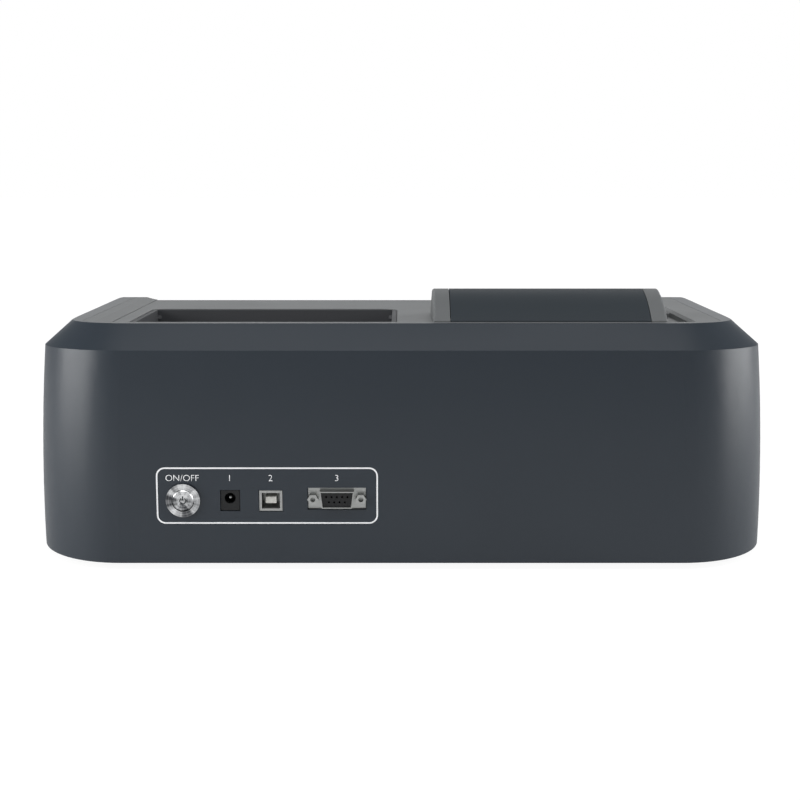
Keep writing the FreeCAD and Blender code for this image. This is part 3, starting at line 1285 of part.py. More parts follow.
FAR_FRONT, FAR_REAR = behind("(display_front_gap + 30)"), behind(0)
side_cut(bezel, "display_left - 10", "display_right + 10",
         [(FAR_FRONT, deck(FAR_FRONT, "sunken_depth + 0.4")),
          (FAR_REAR, deck(FAR_REAR, "sunken_depth + 0.4")),
          (FAR_REAR, 200), (FAR_FRONT, 200)])
side_cut(bezel, "display_left - 10", "display_right + 10",
         [(FAR_FRONT, 20), (FAR_REAR, 20), (FAR_REAR, screen(FAR_REAR, LEDGE)),
          (FAR_FRONT, screen(FAR_FRONT, LEDGE))])
IN_LEFT, IN_RIGHT = f"({FIT_LEFT} + bezel_wall)", f"({FIT_RIGHT} - bezel_wall)"
IN_FRONT, IN_REAR = f"({FIT_FRONT} + bezel_wall)", f"({FIT_REAR} - bezel_wall)"
side_cut(bezel, IN_LEFT, IN_RIGHT,
         [(IN_FRONT, screen(IN_FRONT, "glass_thickness")), (IN_REAR, screen(IN_REAR, "glass_thickness")),
          (IN_REAR, 200), (IN_FRONT, 200)])
side_cut(bezel, f"{IN_LEFT} + ledge_width", f"{IN_RIGHT} - ledge_width",
         [(f"({IN_FRONT} + ledge_width)", 30), (f"({IN_REAR} - ledge_width)", 30),
          (f"({IN_REAR} - ledge_width)", 200), (f"({IN_FRONT} + ledge_width)", 200)])
rail = plan_body("bezel_rail", f"{FIT_LEFT} - 5", f"{FIT_FRONT} - 5", f"{FIT_RIGHT} + 5", f"{FIT_REAR} + 5",
                 60, 160, 10, 13)
side_cut(rail, "display_left - 10", "display_right + 10",
         [(FAR_FRONT, deck(FAR_FRONT, "panel_thickness")), (FAR_REAR, deck(FAR_REAR, "panel_thickness")),
          (FAR_REAR, 200), (FAR_FRONT, 200)])
side_cut(rail, "display_left - 10", "display_right + 10",
         [(FAR_FRONT, 20), (FAR_REAR, 20), (FAR_REAR, deck(FAR_REAR, "panel_thickness + bezel_flange")),
          (FAR_FRONT, deck(FAR_FRONT, "panel_thickness + bezel_flange"))])
rail_room = plan_body("rail_room", f"{FIT_LEFT} + 1.5", f"{FIT_FRONT} + 1.5", f"{FIT_RIGHT} - 1.5",
                      f"{FIT_REAR} - 1.5", 50, 170, 5, 7)
SPAN = f"(({IN_REAR} - {IN_FRONT}) / cos(display_tilt))"
MODULE_LEFT, MODULE_RIGHT = f"({IN_LEFT} + 1.5)", f"({IN_RIGHT} - 1.5)"
MODULE_FRONT, MODULE_REAR = f"(-{SPAN} + 2.5)", "(-2.5)"
BOARD_SEAT = f"(-{LEDGE} - module_thickness - board_thickness)"
display_places = corners(f"{MODULE_LEFT} + 3", f"{MODULE_FRONT} + 3", f"{MODULE_RIGHT} - 3",
                         f"{MODULE_REAR} - 3")
display_screws = on_slope(group("display_screws", *screws("display_screw", display_places, BOARD_SEAT, True)),
                          SCREEN_Y, SCREEN_Z, "display_tilt")
keep(cut_from("display_bezel", joined("bezel_solid", bezel, cut_from("bezel_ring", rail, rail_room)),
              display_screws))
glass = block("glass_sheet", f"{IN_LEFT} + 0.3", f"-{SPAN} + 0.6", "-glass_thickness", f"{IN_RIGHT} - 0.3",
              "-0.6", 0)
keep(on_slope(group("display_glass", glass), SCREEN_Y, SCREEN_Z, "display_tilt"))
module_block = on_slope(group("module_block", block("module_box", MODULE_LEFT, MODULE_FRONT,
                                                    f"-{LEDGE} - module_thickness", MODULE_RIGHT, MODULE_REAR,
                                                    f"-{LEDGE}")), SCREEN_Y, SCREEN_Z, "display_tilt")
keep(cut_from("display_module", module_block, display_screws))
board_block = on_slope(group("display_card_block", block("display_card", MODULE_LEFT, MODULE_FRONT, BOARD_SEAT,
                                                         MODULE_RIGHT, MODULE_REAR,
                                                         f"{BOARD_SEAT} + board_thickness")),
                       SCREEN_Y, SCREEN_Z, "display_tilt")
keep(cut_from("display_board", board_block, display_screws))

# Boards

main_card = block("main_card", MAIN_BOARD[0], MAIN_BOARD[1], LOW_BOARD, MAIN_BOARD[2], MAIN_BOARD[3],
                  f"{LOW_BOARD} + board_thickness")
keep(cut_from("mainboard", main_card, board_screw_group))
power_card = block("power_card", POWER_BOARD[0], POWER_BOARD[1], LOW_BOARD, POWER_BOARD[2], POWER_BOARD[3],
                   f"{LOW_BOARD} + board_thickness")
keep(cut_from("power_board", power_card, board_screw_group))
rear_card = block("rear_card", REAR_BOARD[0], REAR_BOARD[1], REAR_BOARD_BOTTOM, REAR_BOARD[2], REAR_BOARD[3],
                  "connector_board_top")
keep(cut_from("connector_board", rear_card, board_screw_group))
CHIP_SEAT = f"({LOW_BOARD} + board_thickness)"
chips = [block(f"chip_{i}", left, front_y, CHIP_SEAT, f"{left} + {wide}", f"{front_y} + {deep}",
               f"{CHIP_SEAT} + {tall}")
         for i, (left, front_y, wide, deep, tall) in enumerate([
             ("110", "-80", 24, 24, 2), ("90", "-52", 16, 10, 2), ("138", "-60", 12, 20, 2),
             ("100", "-104", 40, 8, 9), ("-150", "-96", 40, 34, 24), ("-96", "-92", 14, 14, 20),
             ("-74", "-92", 14, 14, 20), ("-100", "-62", 50, 4, 20)], start=1)]
keep(group("board_components", *chips))
keep(group("internal_screws", board_screw_group, bench_screws, tub_screws, case_screws, cover_screws,
           bracket_screws, display_screws))

# Rear connectors and the power button

BUTTON_FACE = "(body_depth / 2 + 0.14)"
RING_FACE = f"({BUTTON_FACE} + 1.5)"
barrel_parts = joined(
    "button_barrel",
    rod("button_tube", "button_x", "body_depth / 2 - 35", "button_z", "button_barrel_radius", 36, "y"),
    rod("button_ring", "button_x", BUTTON_FACE, "button_z", "button_face_radius", 1.5, "y"),
    rod("button_tail", "button_x", "body_depth / 2 - 40", "button_z", 6.5, 6, "y"))
keep(cut_from("power_button_body", barrel_parts,
              rod("button_bore", "button_x", "body_depth / 2 - 26", "button_z",
                  "button_cap_radius + button_cap_gap", 40, "y")))
CAP_TOP = f"({RING_FACE} + 0.35)"
cap = new_body("power_button_cap")
pad(Profile(cap, "XZ", "-(body_depth / 2 - 23)").circle("button_x", "button_z", "button_cap_radius"),
    f"{CAP_TOP} - (body_depth / 2 - 23)", back=True)
cap_face = worth(CAP_TOP)
dress(cap, "Chamfer", lambda e: e.CenterOfMass.y > cap_face - 0.1 and e.Length > 20, Size=0.4)
keep(cap)
NUT_REAR = "(body_depth / 2 - wall - 0.22)"
keep(cut_from("power_button_nut",
              prism("nut_prism", 6, "button_x", f"{NUT_REAR} - 3.5", "button_z", 11.5, 3.5, "y"),
              rod("nut_bore", "button_x", f"{NUT_REAR} - 5", "button_z", "button_barrel_radius", 8, "y")))
SOCKET_FACE = "(body_depth / 2 - 0.5)"
BEHIND_WALL = "(body_depth / 2 - wall - 0.4)"
DC_X = "((dc_left + dc_right) / 2)"
dc_block = block("dc_block", "dc_left", "body_depth / 2 - 14", "dc_bottom", "dc_right", SOCKET_FACE, "dc_top")
dc_foot = block("dc_foot", "dc_left", "body_depth / 2 - 14", "connector_board_top", "dc_right",
                BEHIND_WALL, "dc_bottom + 1")
dc_hole = rod("dc_hole_bore", DC_X, f"{SOCKET_FACE} - 10", "dc_hole_z", "dc_hole_radius", 12, "y")
dc_pin_hole = rod("dc_pin_hole", DC_X, f"{SOCKET_FACE} - 12", "dc_hole_z", "dc_pin_radius", 4, "y")
keep(cut_from("dc_jack", joined("dc_solid", dc_block, dc_foot), dc_hole, dc_pin_hole))
dc_pin = new_body("dc_jack_pin")
pad(Profile(dc_pin, "XZ", f"-({SOCKET_FACE} - 12)").circle(DC_X, "dc_hole_z", "dc_pin_radius"), 10.5, back=True)
pin_tip = worth(f"{SOCKET_FACE} - 1.5")
dress(dc_pin, "Fillet", lambda e: e.CenterOfMass.y > pin_tip - 0.1, Radius="dc_pin_radius * 0.85")
keep(dc_pin)
usb_outer = block("usb_outer", "usb_left", f"{SOCKET_FACE} - 16", "usb_bottom", "usb_right",
                  SOCKET_FACE, "usb_top")
usb_room = block("usb_room", "usb_left + usb_rim", f"{SOCKET_FACE} - 12", "usb_bottom + usb_rim",
                 "usb_right - usb_rim", f"{SOCKET_FACE} + 5", "usb_top - usb_rim")
usb_foot = block("usb_foot", "usb_left + 1", f"{SOCKET_FACE} - 16", "connector_board_top", "usb_right - 1",
                 f"{SOCKET_FACE} - 9", "usb_bottom + 0.3")
keep(cut_from("usb_port_shell", joined("usb_solid", usb_outer, usb_foot), usb_room))
USB_X, USB_Z = "((usb_left + usb_right) / 2)", "((usb_bottom + usb_top) / 2)"
keep(group("usb_port_tongue", block("usb_tongue", f"{USB_X} - 2.8", f"{SOCKET_FACE} - 12", f"{USB_Z} - 1.7",
                                    f"{USB_X} + 2.8", f"{SOCKET_FACE} - 1.5", f"{USB_Z} + 1.7")))
SERIAL_FACE = "(body_depth / 2 - serial_recess)"


def serial_outline(profile, grow):
    """The five-sided look of a serial plug: wide at the top, narrower below."""
    return profile.polygon([(f"serial_x - 7.4 - {grow}", f"serial_z - 4 - {grow}"),
                            (f"serial_x + 7.4 + {grow}", f"serial_z - 4 - {grow}"),
                            (f"serial_x + 8.4 + {grow}", f"serial_z + 4 + {grow}"),
                            (f"serial_x - 8.4 - {grow}", f"serial_z + 4 + {grow}")])


flange = new_body("serial_flange")
flange_outline = Profile(flange, "XZ", f"-({SERIAL_FACE} - 1)")
pad(flange_outline.rectangle(SERIAL_LEFT, SERIAL_BOTTOM, SERIAL_RIGHT, SERIAL_TOP),
    1, back=True)
pad(serial_outline(Profile(flange, "XZ", f"-({SERIAL_FACE} - 0.5)"), 0.5), 5, back=True)
pocket(serial_outline(Profile(flange, "XZ", f"-({SERIAL_FACE} + 6)"), 0), 12, back=True)
jack_places = ["(serial_x - serial_pitch / 2)", "(serial_x + serial_pitch / 2)"]
jack_screws = []
for i, across in enumerate(jack_places, start=1):
    head = prism(f"jack_head_{i}", 6, across, SERIAL_FACE, "serial_z", 2.9, 3.6, "y")
    stem = rod(f"jack_stem_{i}", across, f"{SERIAL_FACE} - 4", "serial_z", 1.4, 4.5, "y")
    tapped = rod(f"jack_bore_{i}", across, f"{SERIAL_FACE} + 0.6", "serial_z", 1.3, 6, "y")
    jack_screws.append(cut_from(f"jack_screw_{i}", joined(f"jack_solid_{i}", head, stem), tapped))
jack_group = group("serial_port_jackscrews", *jack_screws)
keep(cut_from("serial_port_shell", flange, jack_group))
keep(jack_group)
insert_foot = block("insert_foot", f"{SERIAL_LEFT} + 0.5", f"{SERIAL_FACE} - 11", "connector_board_top",
                    f"{SERIAL_RIGHT} - 0.5", BEHIND_WALL, f"{SERIAL_TOP} - 0.3")
insert_back = block("insert_back", f"{SERIAL_LEFT} + 0.5", f"{SERIAL_FACE} - 8", f"{SERIAL_BOTTOM} + 0.3",
                    f"{SERIAL_RIGHT} - 0.5", f"{SERIAL_FACE} - 1", f"{SERIAL_TOP} - 0.3")
insert_face = new_body("insert_face")
pad(serial_outline(Profile(insert_face, "XZ", f"-({SERIAL_FACE} - 2)"), -0.05), 5.4, back=True)
pin_holes = []
for row, (count, up) in enumerate(((5, 1.4), (4, -1.4))):
    for i in range(count):
        across = f"(serial_x + 2.76 * ({i} - {(count - 1) / 2}))"
        pin_holes.append(rod(f"pin_hole_{row}_{i}", across, f"{SERIAL_FACE} - 3", f"(serial_z + {up})",
                             0.55, 10, "y"))
insert_solid = joined("insert_solid", insert_foot, insert_back, insert_face)
keep(cut_from("serial_port_insert", insert_solid, jack_group, *pin_holes))

# Checks and files

doc.recompute()
doc.removeObject("Trial")
faults = []
for item in doc.Objects:
    if "Invalid" in item.State or "Error" in item.State:
        faults.append(f"{item.Label}: {item.State}")
for item in NODES:
    if item.Shape.isNull() or not item.Shape.isValid() or not item.Shape.Solids:
        faults.append(f"{item.Label}: no sound solid")
if faults:
    raise ValueError("; ".join(faults))
os.makedirs("parts", exist_ok=True)
for item in NODES:
    item.Shape.exportStep(f"parts/{item.Label}.step")
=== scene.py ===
"""The looks of a benchtop spectrophotometer, seen from its rear wall.

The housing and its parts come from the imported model. This file gives every part
its finish, prints the legend round the rear ports, marks the power button, and
sets up the floor, the lamps and the camera.
"""

import logging
import math
from dataclasses import dataclass, field
from enum import Enum

import bpy
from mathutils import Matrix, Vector


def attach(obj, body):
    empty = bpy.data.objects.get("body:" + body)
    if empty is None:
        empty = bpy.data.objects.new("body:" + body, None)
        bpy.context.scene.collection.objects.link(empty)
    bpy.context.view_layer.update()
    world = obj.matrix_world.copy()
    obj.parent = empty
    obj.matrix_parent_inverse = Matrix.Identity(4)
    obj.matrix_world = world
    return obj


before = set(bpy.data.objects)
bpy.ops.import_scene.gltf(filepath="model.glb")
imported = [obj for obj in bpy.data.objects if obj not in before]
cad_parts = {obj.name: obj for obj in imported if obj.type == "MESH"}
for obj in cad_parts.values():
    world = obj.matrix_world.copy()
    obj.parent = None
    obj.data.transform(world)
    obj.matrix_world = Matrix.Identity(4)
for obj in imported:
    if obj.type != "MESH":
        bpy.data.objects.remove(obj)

MM = 0.001
# Points closer than this, in metres, are one point.
MERGE = 0.000001
# Soft uneven patches in every finish, one about every 55 mm.
CLOUDS_PER_METRE = 18.0
LOG = logging.getLogger("spectrophotometer")


class Pattern(Enum):
    """How a surface was made, which sets the pattern that it shows."""

    GRAINED = "grained"
    BRUSHED = "brushed"
    TURNED = "turned"
    ROLLED = "rolled"
    ETCHED = "etched"
    CLEAR = "clear"
    SILVERED = "silvered"


def linear(colour: str) -> tuple[float, float, float, float]:
    """Turns an sRGB hex colour into the linear values that a shader takes.

    Args:
        colour: Six hex digits after a hash sign.

    Returns:
        Red, green, blue and a full alpha.
    """
    parts = [int(colour[i:i + 2], 16) / 255 for i in (1, 3, 5)]
    red, green, blue = [p / 12.92 if p <= 0.04045 else ((p + 0.055) / 1.055) ** 2.4 for p in parts]
    return red, green, blue, 1.0


def add_node(tree: bpy.types.NodeTree, kind: str, sockets: dict | None = None,
             **settings: object) -> bpy.types.Node:
    """Adds a node, sets it up and links what feeds it.

    Args:
        tree: The node tree.
        kind: The node's type name.
        sockets: Values or output sockets by the name of the input they go to.
        settings: Properties of the node itself.

    Returns:
        The new node.
    """
    node = tree.nodes.new(kind)
    for name, value in settings.items():
        setattr(node, name, value)
    for name, value in (sockets or {}).items():
        if isinstance(value, bpy.types.NodeSocket):
            tree.links.new(value, node.inputs[name])
        else:
            node.inputs[name].default_value = value
    return node


@dataclass(frozen=True)
class Finish:
    """One real material and the way its surface was made.

    Attributes:
        name: The material's name in the file.
        colour: Main colour as sRGB hex.
        shade: Second colour, which the pattern brings in.
        pattern: How the surface was made.
        pitch: Size of one grain, scratch or ring in millimetres.
        relief: Depth of the pattern in millimetres.
        roughness: Roughness of the smooth parts.
        spread: How much the pattern adds to the roughness.
        metallic: 1 for bare metal.
        ior: Index of refraction of what isn't metal.
        transmission: How clear a glass is.
        centre: Place in millimetres that rings are turned about.
        axis: Axis that rings are turned about or scratches run along.
        swirl: How much turned metal stretches its highlight outward from the centre; when it is not zero,
            painted highlight and painted shade fans are laid in its colour too.
        painted_fans: How many bright and dark fans of painted highlight and painted shade a turned face
            shows in its colour, more for a higher value.
    """

    name: str
    colour: str
    shade: str
    pattern: Pattern = Pattern.GRAINED
    pitch: float = 0.7
    relief: float = 0.03
    roughness: float = 0.5
    spread: float = 0.1
    metallic: float = 0.0
    ior: float = 1.5
    transmission: float = 0.0
    centre: tuple[float, float, float] = (0.0, 0.0, 0.0)
    axis: str = "X"
    swirl: float = 0.0
    painted_fans: float = 1.6

    def material(self) -> bpy.types.Material:
        """Builds the material, or hands back the one already built."""
        if self.name in bpy.data.materials:
            return bpy.data.materials[self.name]
        made = bpy.data.materials.new(self.name)
        made.use_nodes = True
        tree = made.node_tree
        tree.nodes.clear()
        place = add_node(tree, "ShaderNodeTexCoord").outputs["Object"]
        height, tone = self.pattern_sockets(tree, place)
        cloud = add_node(tree, "ShaderNodeTexNoise",
                         {"Vector": place, "Scale": CLOUDS_PER_METRE, "Detail": 3.0})
        blend = add_node(tree, "ShaderNodeMath", {0: tone, 1: cloud.outputs["Fac"]},
                         operation="MULTIPLY")
        paint = add_node(tree, "ShaderNodeMix", {"Factor": blend.outputs[0]}, data_type="RGBA")
        for name, value in (("A", self.colour), ("B", self.shade)):
            socket = next(s for s in paint.inputs if s.name == name and s.type == "RGBA")
            socket.default_value = linear(value)
        colour = next(s for s in paint.outputs if s.type == "RGBA")
        gloss = add_node(tree, "ShaderNodeMapRange",
                         {"Value": blend.outputs[0], "From Min": 0.0, "From Max": 0.6,
                          "To Min": self.roughness, "To Max": self.roughness + self.spread})
        bump = add_node(tree, "ShaderNodeBump",
                        {"Height": height, "Strength": 1.0, "Distance": self.relief * MM})
        shader = add_node(tree, "ShaderNodeBsdfPrincipled",
                          {"Base Color": colour, "Roughness": gloss.outputs[0],
                           "Normal": bump.outputs[0], "Metallic": self.metallic})
        if not self.metallic:
            shader.inputs["IOR"].default_value = self.ior
        if self.transmission:
            shader.inputs["Transmission Weight"].default_value = self.transmission
        if self.swirl:
            round_axis = add_node(tree, "ShaderNodeTangent", direction_type="RADIAL", axis=self.axis)
            tree.links.new(round_axis.outputs[0], shader.inputs["Tangent"])
            shader.inputs["Anisotropic"].default_value = self.swirl
        add_node(tree, "ShaderNodeOutputMaterial", {"Surface": shader.outputs[0]})
        return made

    def pattern_sockets(self, tree: bpy.types.NodeTree, place: bpy.types.NodeSocket
                        ) -> tuple[bpy.types.NodeSocket, bpy.types.NodeSocket]:
        """Adds the nodes of the pattern.

        Args:
            tree: The material's tree.
            place: Object coordinates.

        Returns:
            The socket of its height and the socket of its tone.
        """
        per_metre = 1 / (self.pitch * MM)
        if self.pattern is Pattern.TURNED:
            middle = tuple(-c * MM for c in self.centre)
            moved = add_node(tree, "ShaderNodeMapping", {"Vector": place, "Location": middle})
            # A bright and a dark ring are pi / 10 wide together at scale 1, so here each is a pitch wide.
            wave_scale = per_metre / 20 * math.pi
            rings = add_node(tree, "ShaderNodeTexWave",
                             {"Vector": moved.outputs[0], "Scale": wave_scale,
                              "Distortion": 0.4, "Detail": 1.0},
                             wave_type="RINGS", rings_direction=self.axis)
            # On turned metal with swirl, the tone also carries painted highlight and painted shade fans.
            return rings.outputs["Fac"], self.painted_sheen_fan_sockets(tree, moved.outputs[0], rings.outputs["Fac"])
        if self.pattern is Pattern.BRUSHED:
            stretch = {"X": (0.03, 1, 1), "Y": (1, 0.03, 1), "Z": (1, 1, 0.03)}[self.axis]
            moved = add_node(tree, "ShaderNodeMapping", {"Vector": place, "Scale": stretch})
            hair = add_node(tree, "ShaderNodeTexNoise",
                            {"Vector": moved.outputs[0], "Scale": per_metre, "Detail": 4.0})
            return hair.outputs["Fac"], hair.outputs["Fac"]
        if self.pattern is Pattern.ETCHED:
            tracks = add_node(tree, "ShaderNodeTexBrick",
                              {"Vector": place, "Scale": per_metre, "Mortar Size": 0.06,
                               "Color1": (0, 0, 0, 1), "Color2": (0.15, 0.15, 0.15, 1),
                               "Mortar": (1, 1, 1, 1)}, offset=0.37)
            return tracks.outputs["Color"], tracks.outputs["Color"]
        if self.pattern is Pattern.ROLLED:
            cells = add_node(tree, "ShaderNodeTexVoronoi", {"Vector": place, "Scale": per_metre})
            return cells.outputs["Distance"], cells.outputs["Distance"]
        specks = add_node(tree, "ShaderNodeTexNoise",
                          {"Vector": place, "Scale": per_metre, "Detail": 6.0, "Roughness": 0.62})
        return specks.outputs["Fac"], specks.outputs["Fac"]

    def painted_sheen_fan_sockets(self, tree: bpy.types.NodeTree, place: bpy.types.NodeSocket,
                    rings: bpy.types.NodeSocket) -> bpy.types.NodeSocket:
        """Paints bright and dark fans into a turned face's colour: painted highlights and painted shade,
        standing in for tool marks that shine in some directions only.

        Args:
            tree: The material's tree.
            place: Coordinates from the centre of turning.
            rings: The tone of the rings.

        Returns:
            The rings' tone with the painted highlight and painted shade fans laid over it.
        """
        if not self.swirl:
            return rings
        # Painted highlights and painted shade: fans by direction from the turning centre, mixed into the
        # colour.
        way = add_node(tree, "ShaderNodeVectorMath", {0: place}, operation="NORMALIZE")
        painted_fans = add_node(tree, "ShaderNodeTexNoise",
                        {"Vector": way.outputs["Vector"], "Scale": self.painted_fans, "Detail": 2.5,
                         "Roughness": 0.6})
        painted_fan_mask = add_node(tree, "ShaderNodeMapRange",
                         {"Value": painted_fans.outputs["Fac"], "From Min": 0.38, "From Max": 0.63,
                          "To Min": 0.0, "To Max": 1.6})
        rings_and_painted_fans = add_node(tree, "ShaderNodeMath", {0: rings, 1: 0.3, 2: painted_fan_mask.outputs[0]},
                        operation="MULTIPLY_ADD")
        return rings_and_painted_fans.outputs[0]


BUTTON_CENTRE = (114.0, 148.0, 38.5)

# Grain, scratches and turned rings below are all drawn a few times coarser than the real ones,
# which would be too fine to show in a render of the whole instrument.

# Moulded ABS with a fine spark-eroded grain: a soft, even grey with a faint sparkle.
# The grain is drawn at 0.8 mm, and the real one is about 0.2 mm.
HOUSING_ABS = Finish("ABS_slate_spark_grained", "#2a3139", "#232a31", pitch=0.8, relief=0.012,
                     roughness=0.3, spread=0.1)
# The same ABS moulded in a lighter grey, a little smoother on the worktop.
PANEL_ABS = Finish("ABS_grey_fine_grained", "#696b6c", "#5f6162", pitch=0.7, relief=0.015,
                   roughness=0.46, spread=0.1)
# The lid is moulded in the housing's colour with a finer grain: its sheen is wider and softer.
LID_ABS = Finish("ABS_slate_satin_moulded", "#2a3137", "#22292e", pitch=0.6, relief=0.012,
                 roughness=0.5, spread=0.1)
# Matt dark ABS, as round displays: it swallows light and shows dust-fine specks.
BEZEL_ABS = Finish("ABS_black_matt_moulded", "#444548", "#37383b", pitch=0.6, relief=0.02,
                   roughness=0.55, spread=0.12)
# Black nylon with a slight oily sheen.
BLACK_NYLON = Finish("Nylon_black_moulded", "#0d0e10", "#151618", pitch=0.5, relief=0.01,
                     roughness=0.42, spread=0.12)
# White PBT of sockets and lamp bases: dense, slightly warm, with a smooth sheen.
WHITE_PBT = Finish("PBT_white_moulded", "#d9d8d2", "#c7c6bf", pitch=0.4, relief=0.008,
                   roughness=0.38, spread=0.1)
# Grey ABS of the display's frame: plain and even, duller than the casing.
GREY_ABS = Finish("ABS_mid_grey_moulded", "#6a6c6e", "#5d5f61", pitch=0.5, relief=0.01,
                  roughness=0.45, spread=0.1)
# Powder coat on sheet steel: a dark skin with an orange-peel surface.
POWDER_COAT = Finish("Powder_coat_black_on_steel", "#2e3134", "#3a3d40", Pattern.ROLLED, pitch=1.6,
                     relief=0.03, roughness=0.5, spread=0.15)
# Moulded nitrile rubber: matt, with a trace of bloom.
RUBBER = Finish("Rubber_nitrile_moulded", "#1b1b1c", "#262627", pitch=0.9, relief=0.03,
                roughness=0.78, spread=0.12)
# Bright nickel on brass, turned: fine rings that fan the light out, and bright and dark fans painted into
# its colour as painted highlights and painted shade; its dark second colour is mostly that painted shade,
# and also the dark rings.
BUTTON_NICKEL_PAINTED_SHEEN = Finish("Nickel_plate_turned_painted_sheen", "#f1f2f3", "#4a4c50", Pattern.TURNED, pitch=0.75,
                       relief=0.02, roughness=0.24, spread=0.1, metallic=1.0,
                       centre=BUTTON_CENTRE, axis="Y", swirl=0.85)
# Tinned steel shells of connectors, stamped: soft streaks along the strip.
TIN_PLATE = Finish("Tin_plate_stamped_steel", "#c3c4c2", "#9b9c9a", Pattern.BRUSHED, pitch=0.35,
                   relief=0.006, roughness=0.3, spread=0.2, metallic=1.0)
# Zinc-plated screw steel, turned: cool and bright, with faint arcs that break the highlight.
ZINC_STEEL = Finish("Zinc_plate_screw_steel", "#b4b6b8", "#8d9093", Pattern.TURNED, pitch=0.4,
                    relief=0.01, roughness=0.28, spread=0.2, metallic=1.0, axis="Z")
# Milled aluminium plate with a light, straight cutter mark.
MILLED_ALUMINIUM = Finish("Aluminium_milled_plate", "#b9bbbd", "#9c9fa2", Pattern.BRUSHED, pitch=0.6,
                          relief=0.008, roughness=0.34, spread=0.18, metallic=1.0)
# Black anodised aluminium castings of the optics: dull, so no stray light comes back.
BLACK_ANODISED = Finish("Aluminium_black_anodised", "#141517", "#1f2023", pitch=0.5, relief=0.01,
                        roughness=0.5, spread=0.15, metallic=0.6)
# Hobbed brass: warm yellow, with fine cutter rings.
HOBBED_BRASS = Finish("Brass_hobbed", "#c9a45a", "#a98644", Pattern.TURNED, pitch=0.5, relief=0.01,
                      roughness=0.26, spread=0.18, metallic=1.0, centre=(22.0, 20.0, 20.0), axis="Z")
# Hard-coated display glass over a black print: nearly black with a crisp reflection.
DISPLAY_GLASS = Finish("Glass_display_black_backed", "#0c0e11", "#111419", Pattern.CLEAR, pitch=40.0,
                       relief=0.0, roughness=0.08, spread=0.03, ior=1.52)
# Fused quartz, polished: clear and colourless, seen by its bright rim.
QUARTZ = Finish("Quartz_polished", "#eef3f5", "#e3eaee", Pattern.CLEAR, pitch=20.0, relief=0.0,
                roughness=0.02, spread=0.02, ior=1.46, transmission=1.0)
# Coloured glass of the order-sorting filters: amber, with a polished face.
FILTER_GLASS = Finish("Glass_amber_polished", "#c77a2a", "#a9641f", Pattern.CLEAR, pitch=15.0,
                      relief=0.0, roughness=0.04, spread=0.02, ior=1.52, transmission=0.8)
# Front-aluminised mirror glass: a clean mirror with hardly any haze.
SILVERED = Finish("Mirror_front_aluminised", "#e6e9ea", "#dadede", Pattern.SILVERED, pitch=12.0,
                  relief=0.0, roughness=0.03, spread=0.02, metallic=1.0)
# Glass-fibre board under green solder mask, its tracks a shade lighter.
SOLDER_MASK = Finish("Board_green_solder_mask", "#0f4a24", "#1c6a37", Pattern.ETCHED, pitch=4.0,
                     relief=0.02, roughness=0.35, spread=0.1)
# White screen-printing ink: flat and matt, brighter than the ABS round it.
WHITE_INK = Finish("Ink_white_screen_printed", "#fbfbfc", "#eeeff1", pitch=0.4, relief=0.004,
                   roughness=0.55, spread=0.1)
# Nickel darkened by the marking laser: a dull, nearly black line in the bright face.
MARKED = Finish("Nickel_laser_marked", "#2b2d30", "#232528", pitch=0.2, relief=0.004,
                roughness=0.5, spread=0.1, metallic=0.7)

NODE_FINISHES: dict[Finish, tuple[str, ...]] = {
    HOUSING_ABS: ("upper_housing",),
    PANEL_ABS: ("deck_panel",),
    LID_ABS: ("lid",),
    BEZEL_ABS: ("display_bezel", "lid_liner", "compartment_tub"),
    BLACK_NYLON: ("carousel_hub", "dc_jack", "serial_port_insert", "photodiode", "board_components"),
    WHITE_PBT: ("lamp_socket", "usb_port_tongue"),
    GREY_ABS: ("display_module",),
    POWDER_COAT: ("base_pan", "lamp_house"),
    RUBBER: ("rubber_feet", "lid_seal"),
    BUTTON_NICKEL_PAINTED_SHEEN: ("power_button_body", "power_button_cap", "power_button_nut"),
    TIN_PLATE: ("usb_port_shell", "serial_port_shell", "serial_port_jackscrews", "dc_jack_pin"),
    ZINC_STEEL: ("base_screws", "internal_screws", "lid_hinge_pins", "carousel_motor", "grating_motor",
                 "filter_motor", "entrance_slit", "exit_slit"),
    MILLED_ALUMINIUM: ("optics_plate", "bench_posts", "grating_table", "filter_wheel", "filter_bracket"),
    BLACK_ANODISED: ("monochromator_case", "monochromator_cover", "light_tube", "detector_block",
                     "carousel_plate"),
    HOBBED_BRASS: ("grating_gear", "grating_pinion"),
    DISPLAY_GLASS: ("display_glass",),
    QUARTZ: ("beam_windows", "condenser_lens", "lamp_bulb"),
    FILTER_GLASS: ("colour_filters",),
    SILVERED: ("collimating_mirror", "focusing_mirror", "fold_mirror", "grating"),
    SOLDER_MASK: ("mainboard", "power_board", "connector_board", "display_board", "detector_board"),
}


def deselect() -> None:
    """Leaves nothing selected."""
    if bpy.context.object and bpy.context.object.mode != "OBJECT":
        bpy.ops.object.mode_set(mode="OBJECT")
    bpy.ops.object.select_all(action="DESELECT")


def finish_piece(piece: bpy.types.Object, name: str, finish: Finish, body: str) -> bpy.types.Object:
    """Names and dresses a piece, moves its place into its mesh and hangs it on a body.

    Args:
        piece: The piece, in place.
        name: Its new name.
        finish: What it is made of.
        body: The body of the model that carries it.

    Returns:
        The piece.
    """
    deselect()
    piece.select_set(True)
    bpy.context.view_layer.objects.active = piece
    bpy.ops.object.transform_apply(location=True, rotation=True, scale=True)
    piece.name = name
    piece.data.name = name
    piece.data.materials.clear()
    piece.data.materials.append(finish.material())
    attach(piece, body)
    LOG.info("%s: %d faces, %s", name, len(piece.data.polygons), finish.name)
    return piece


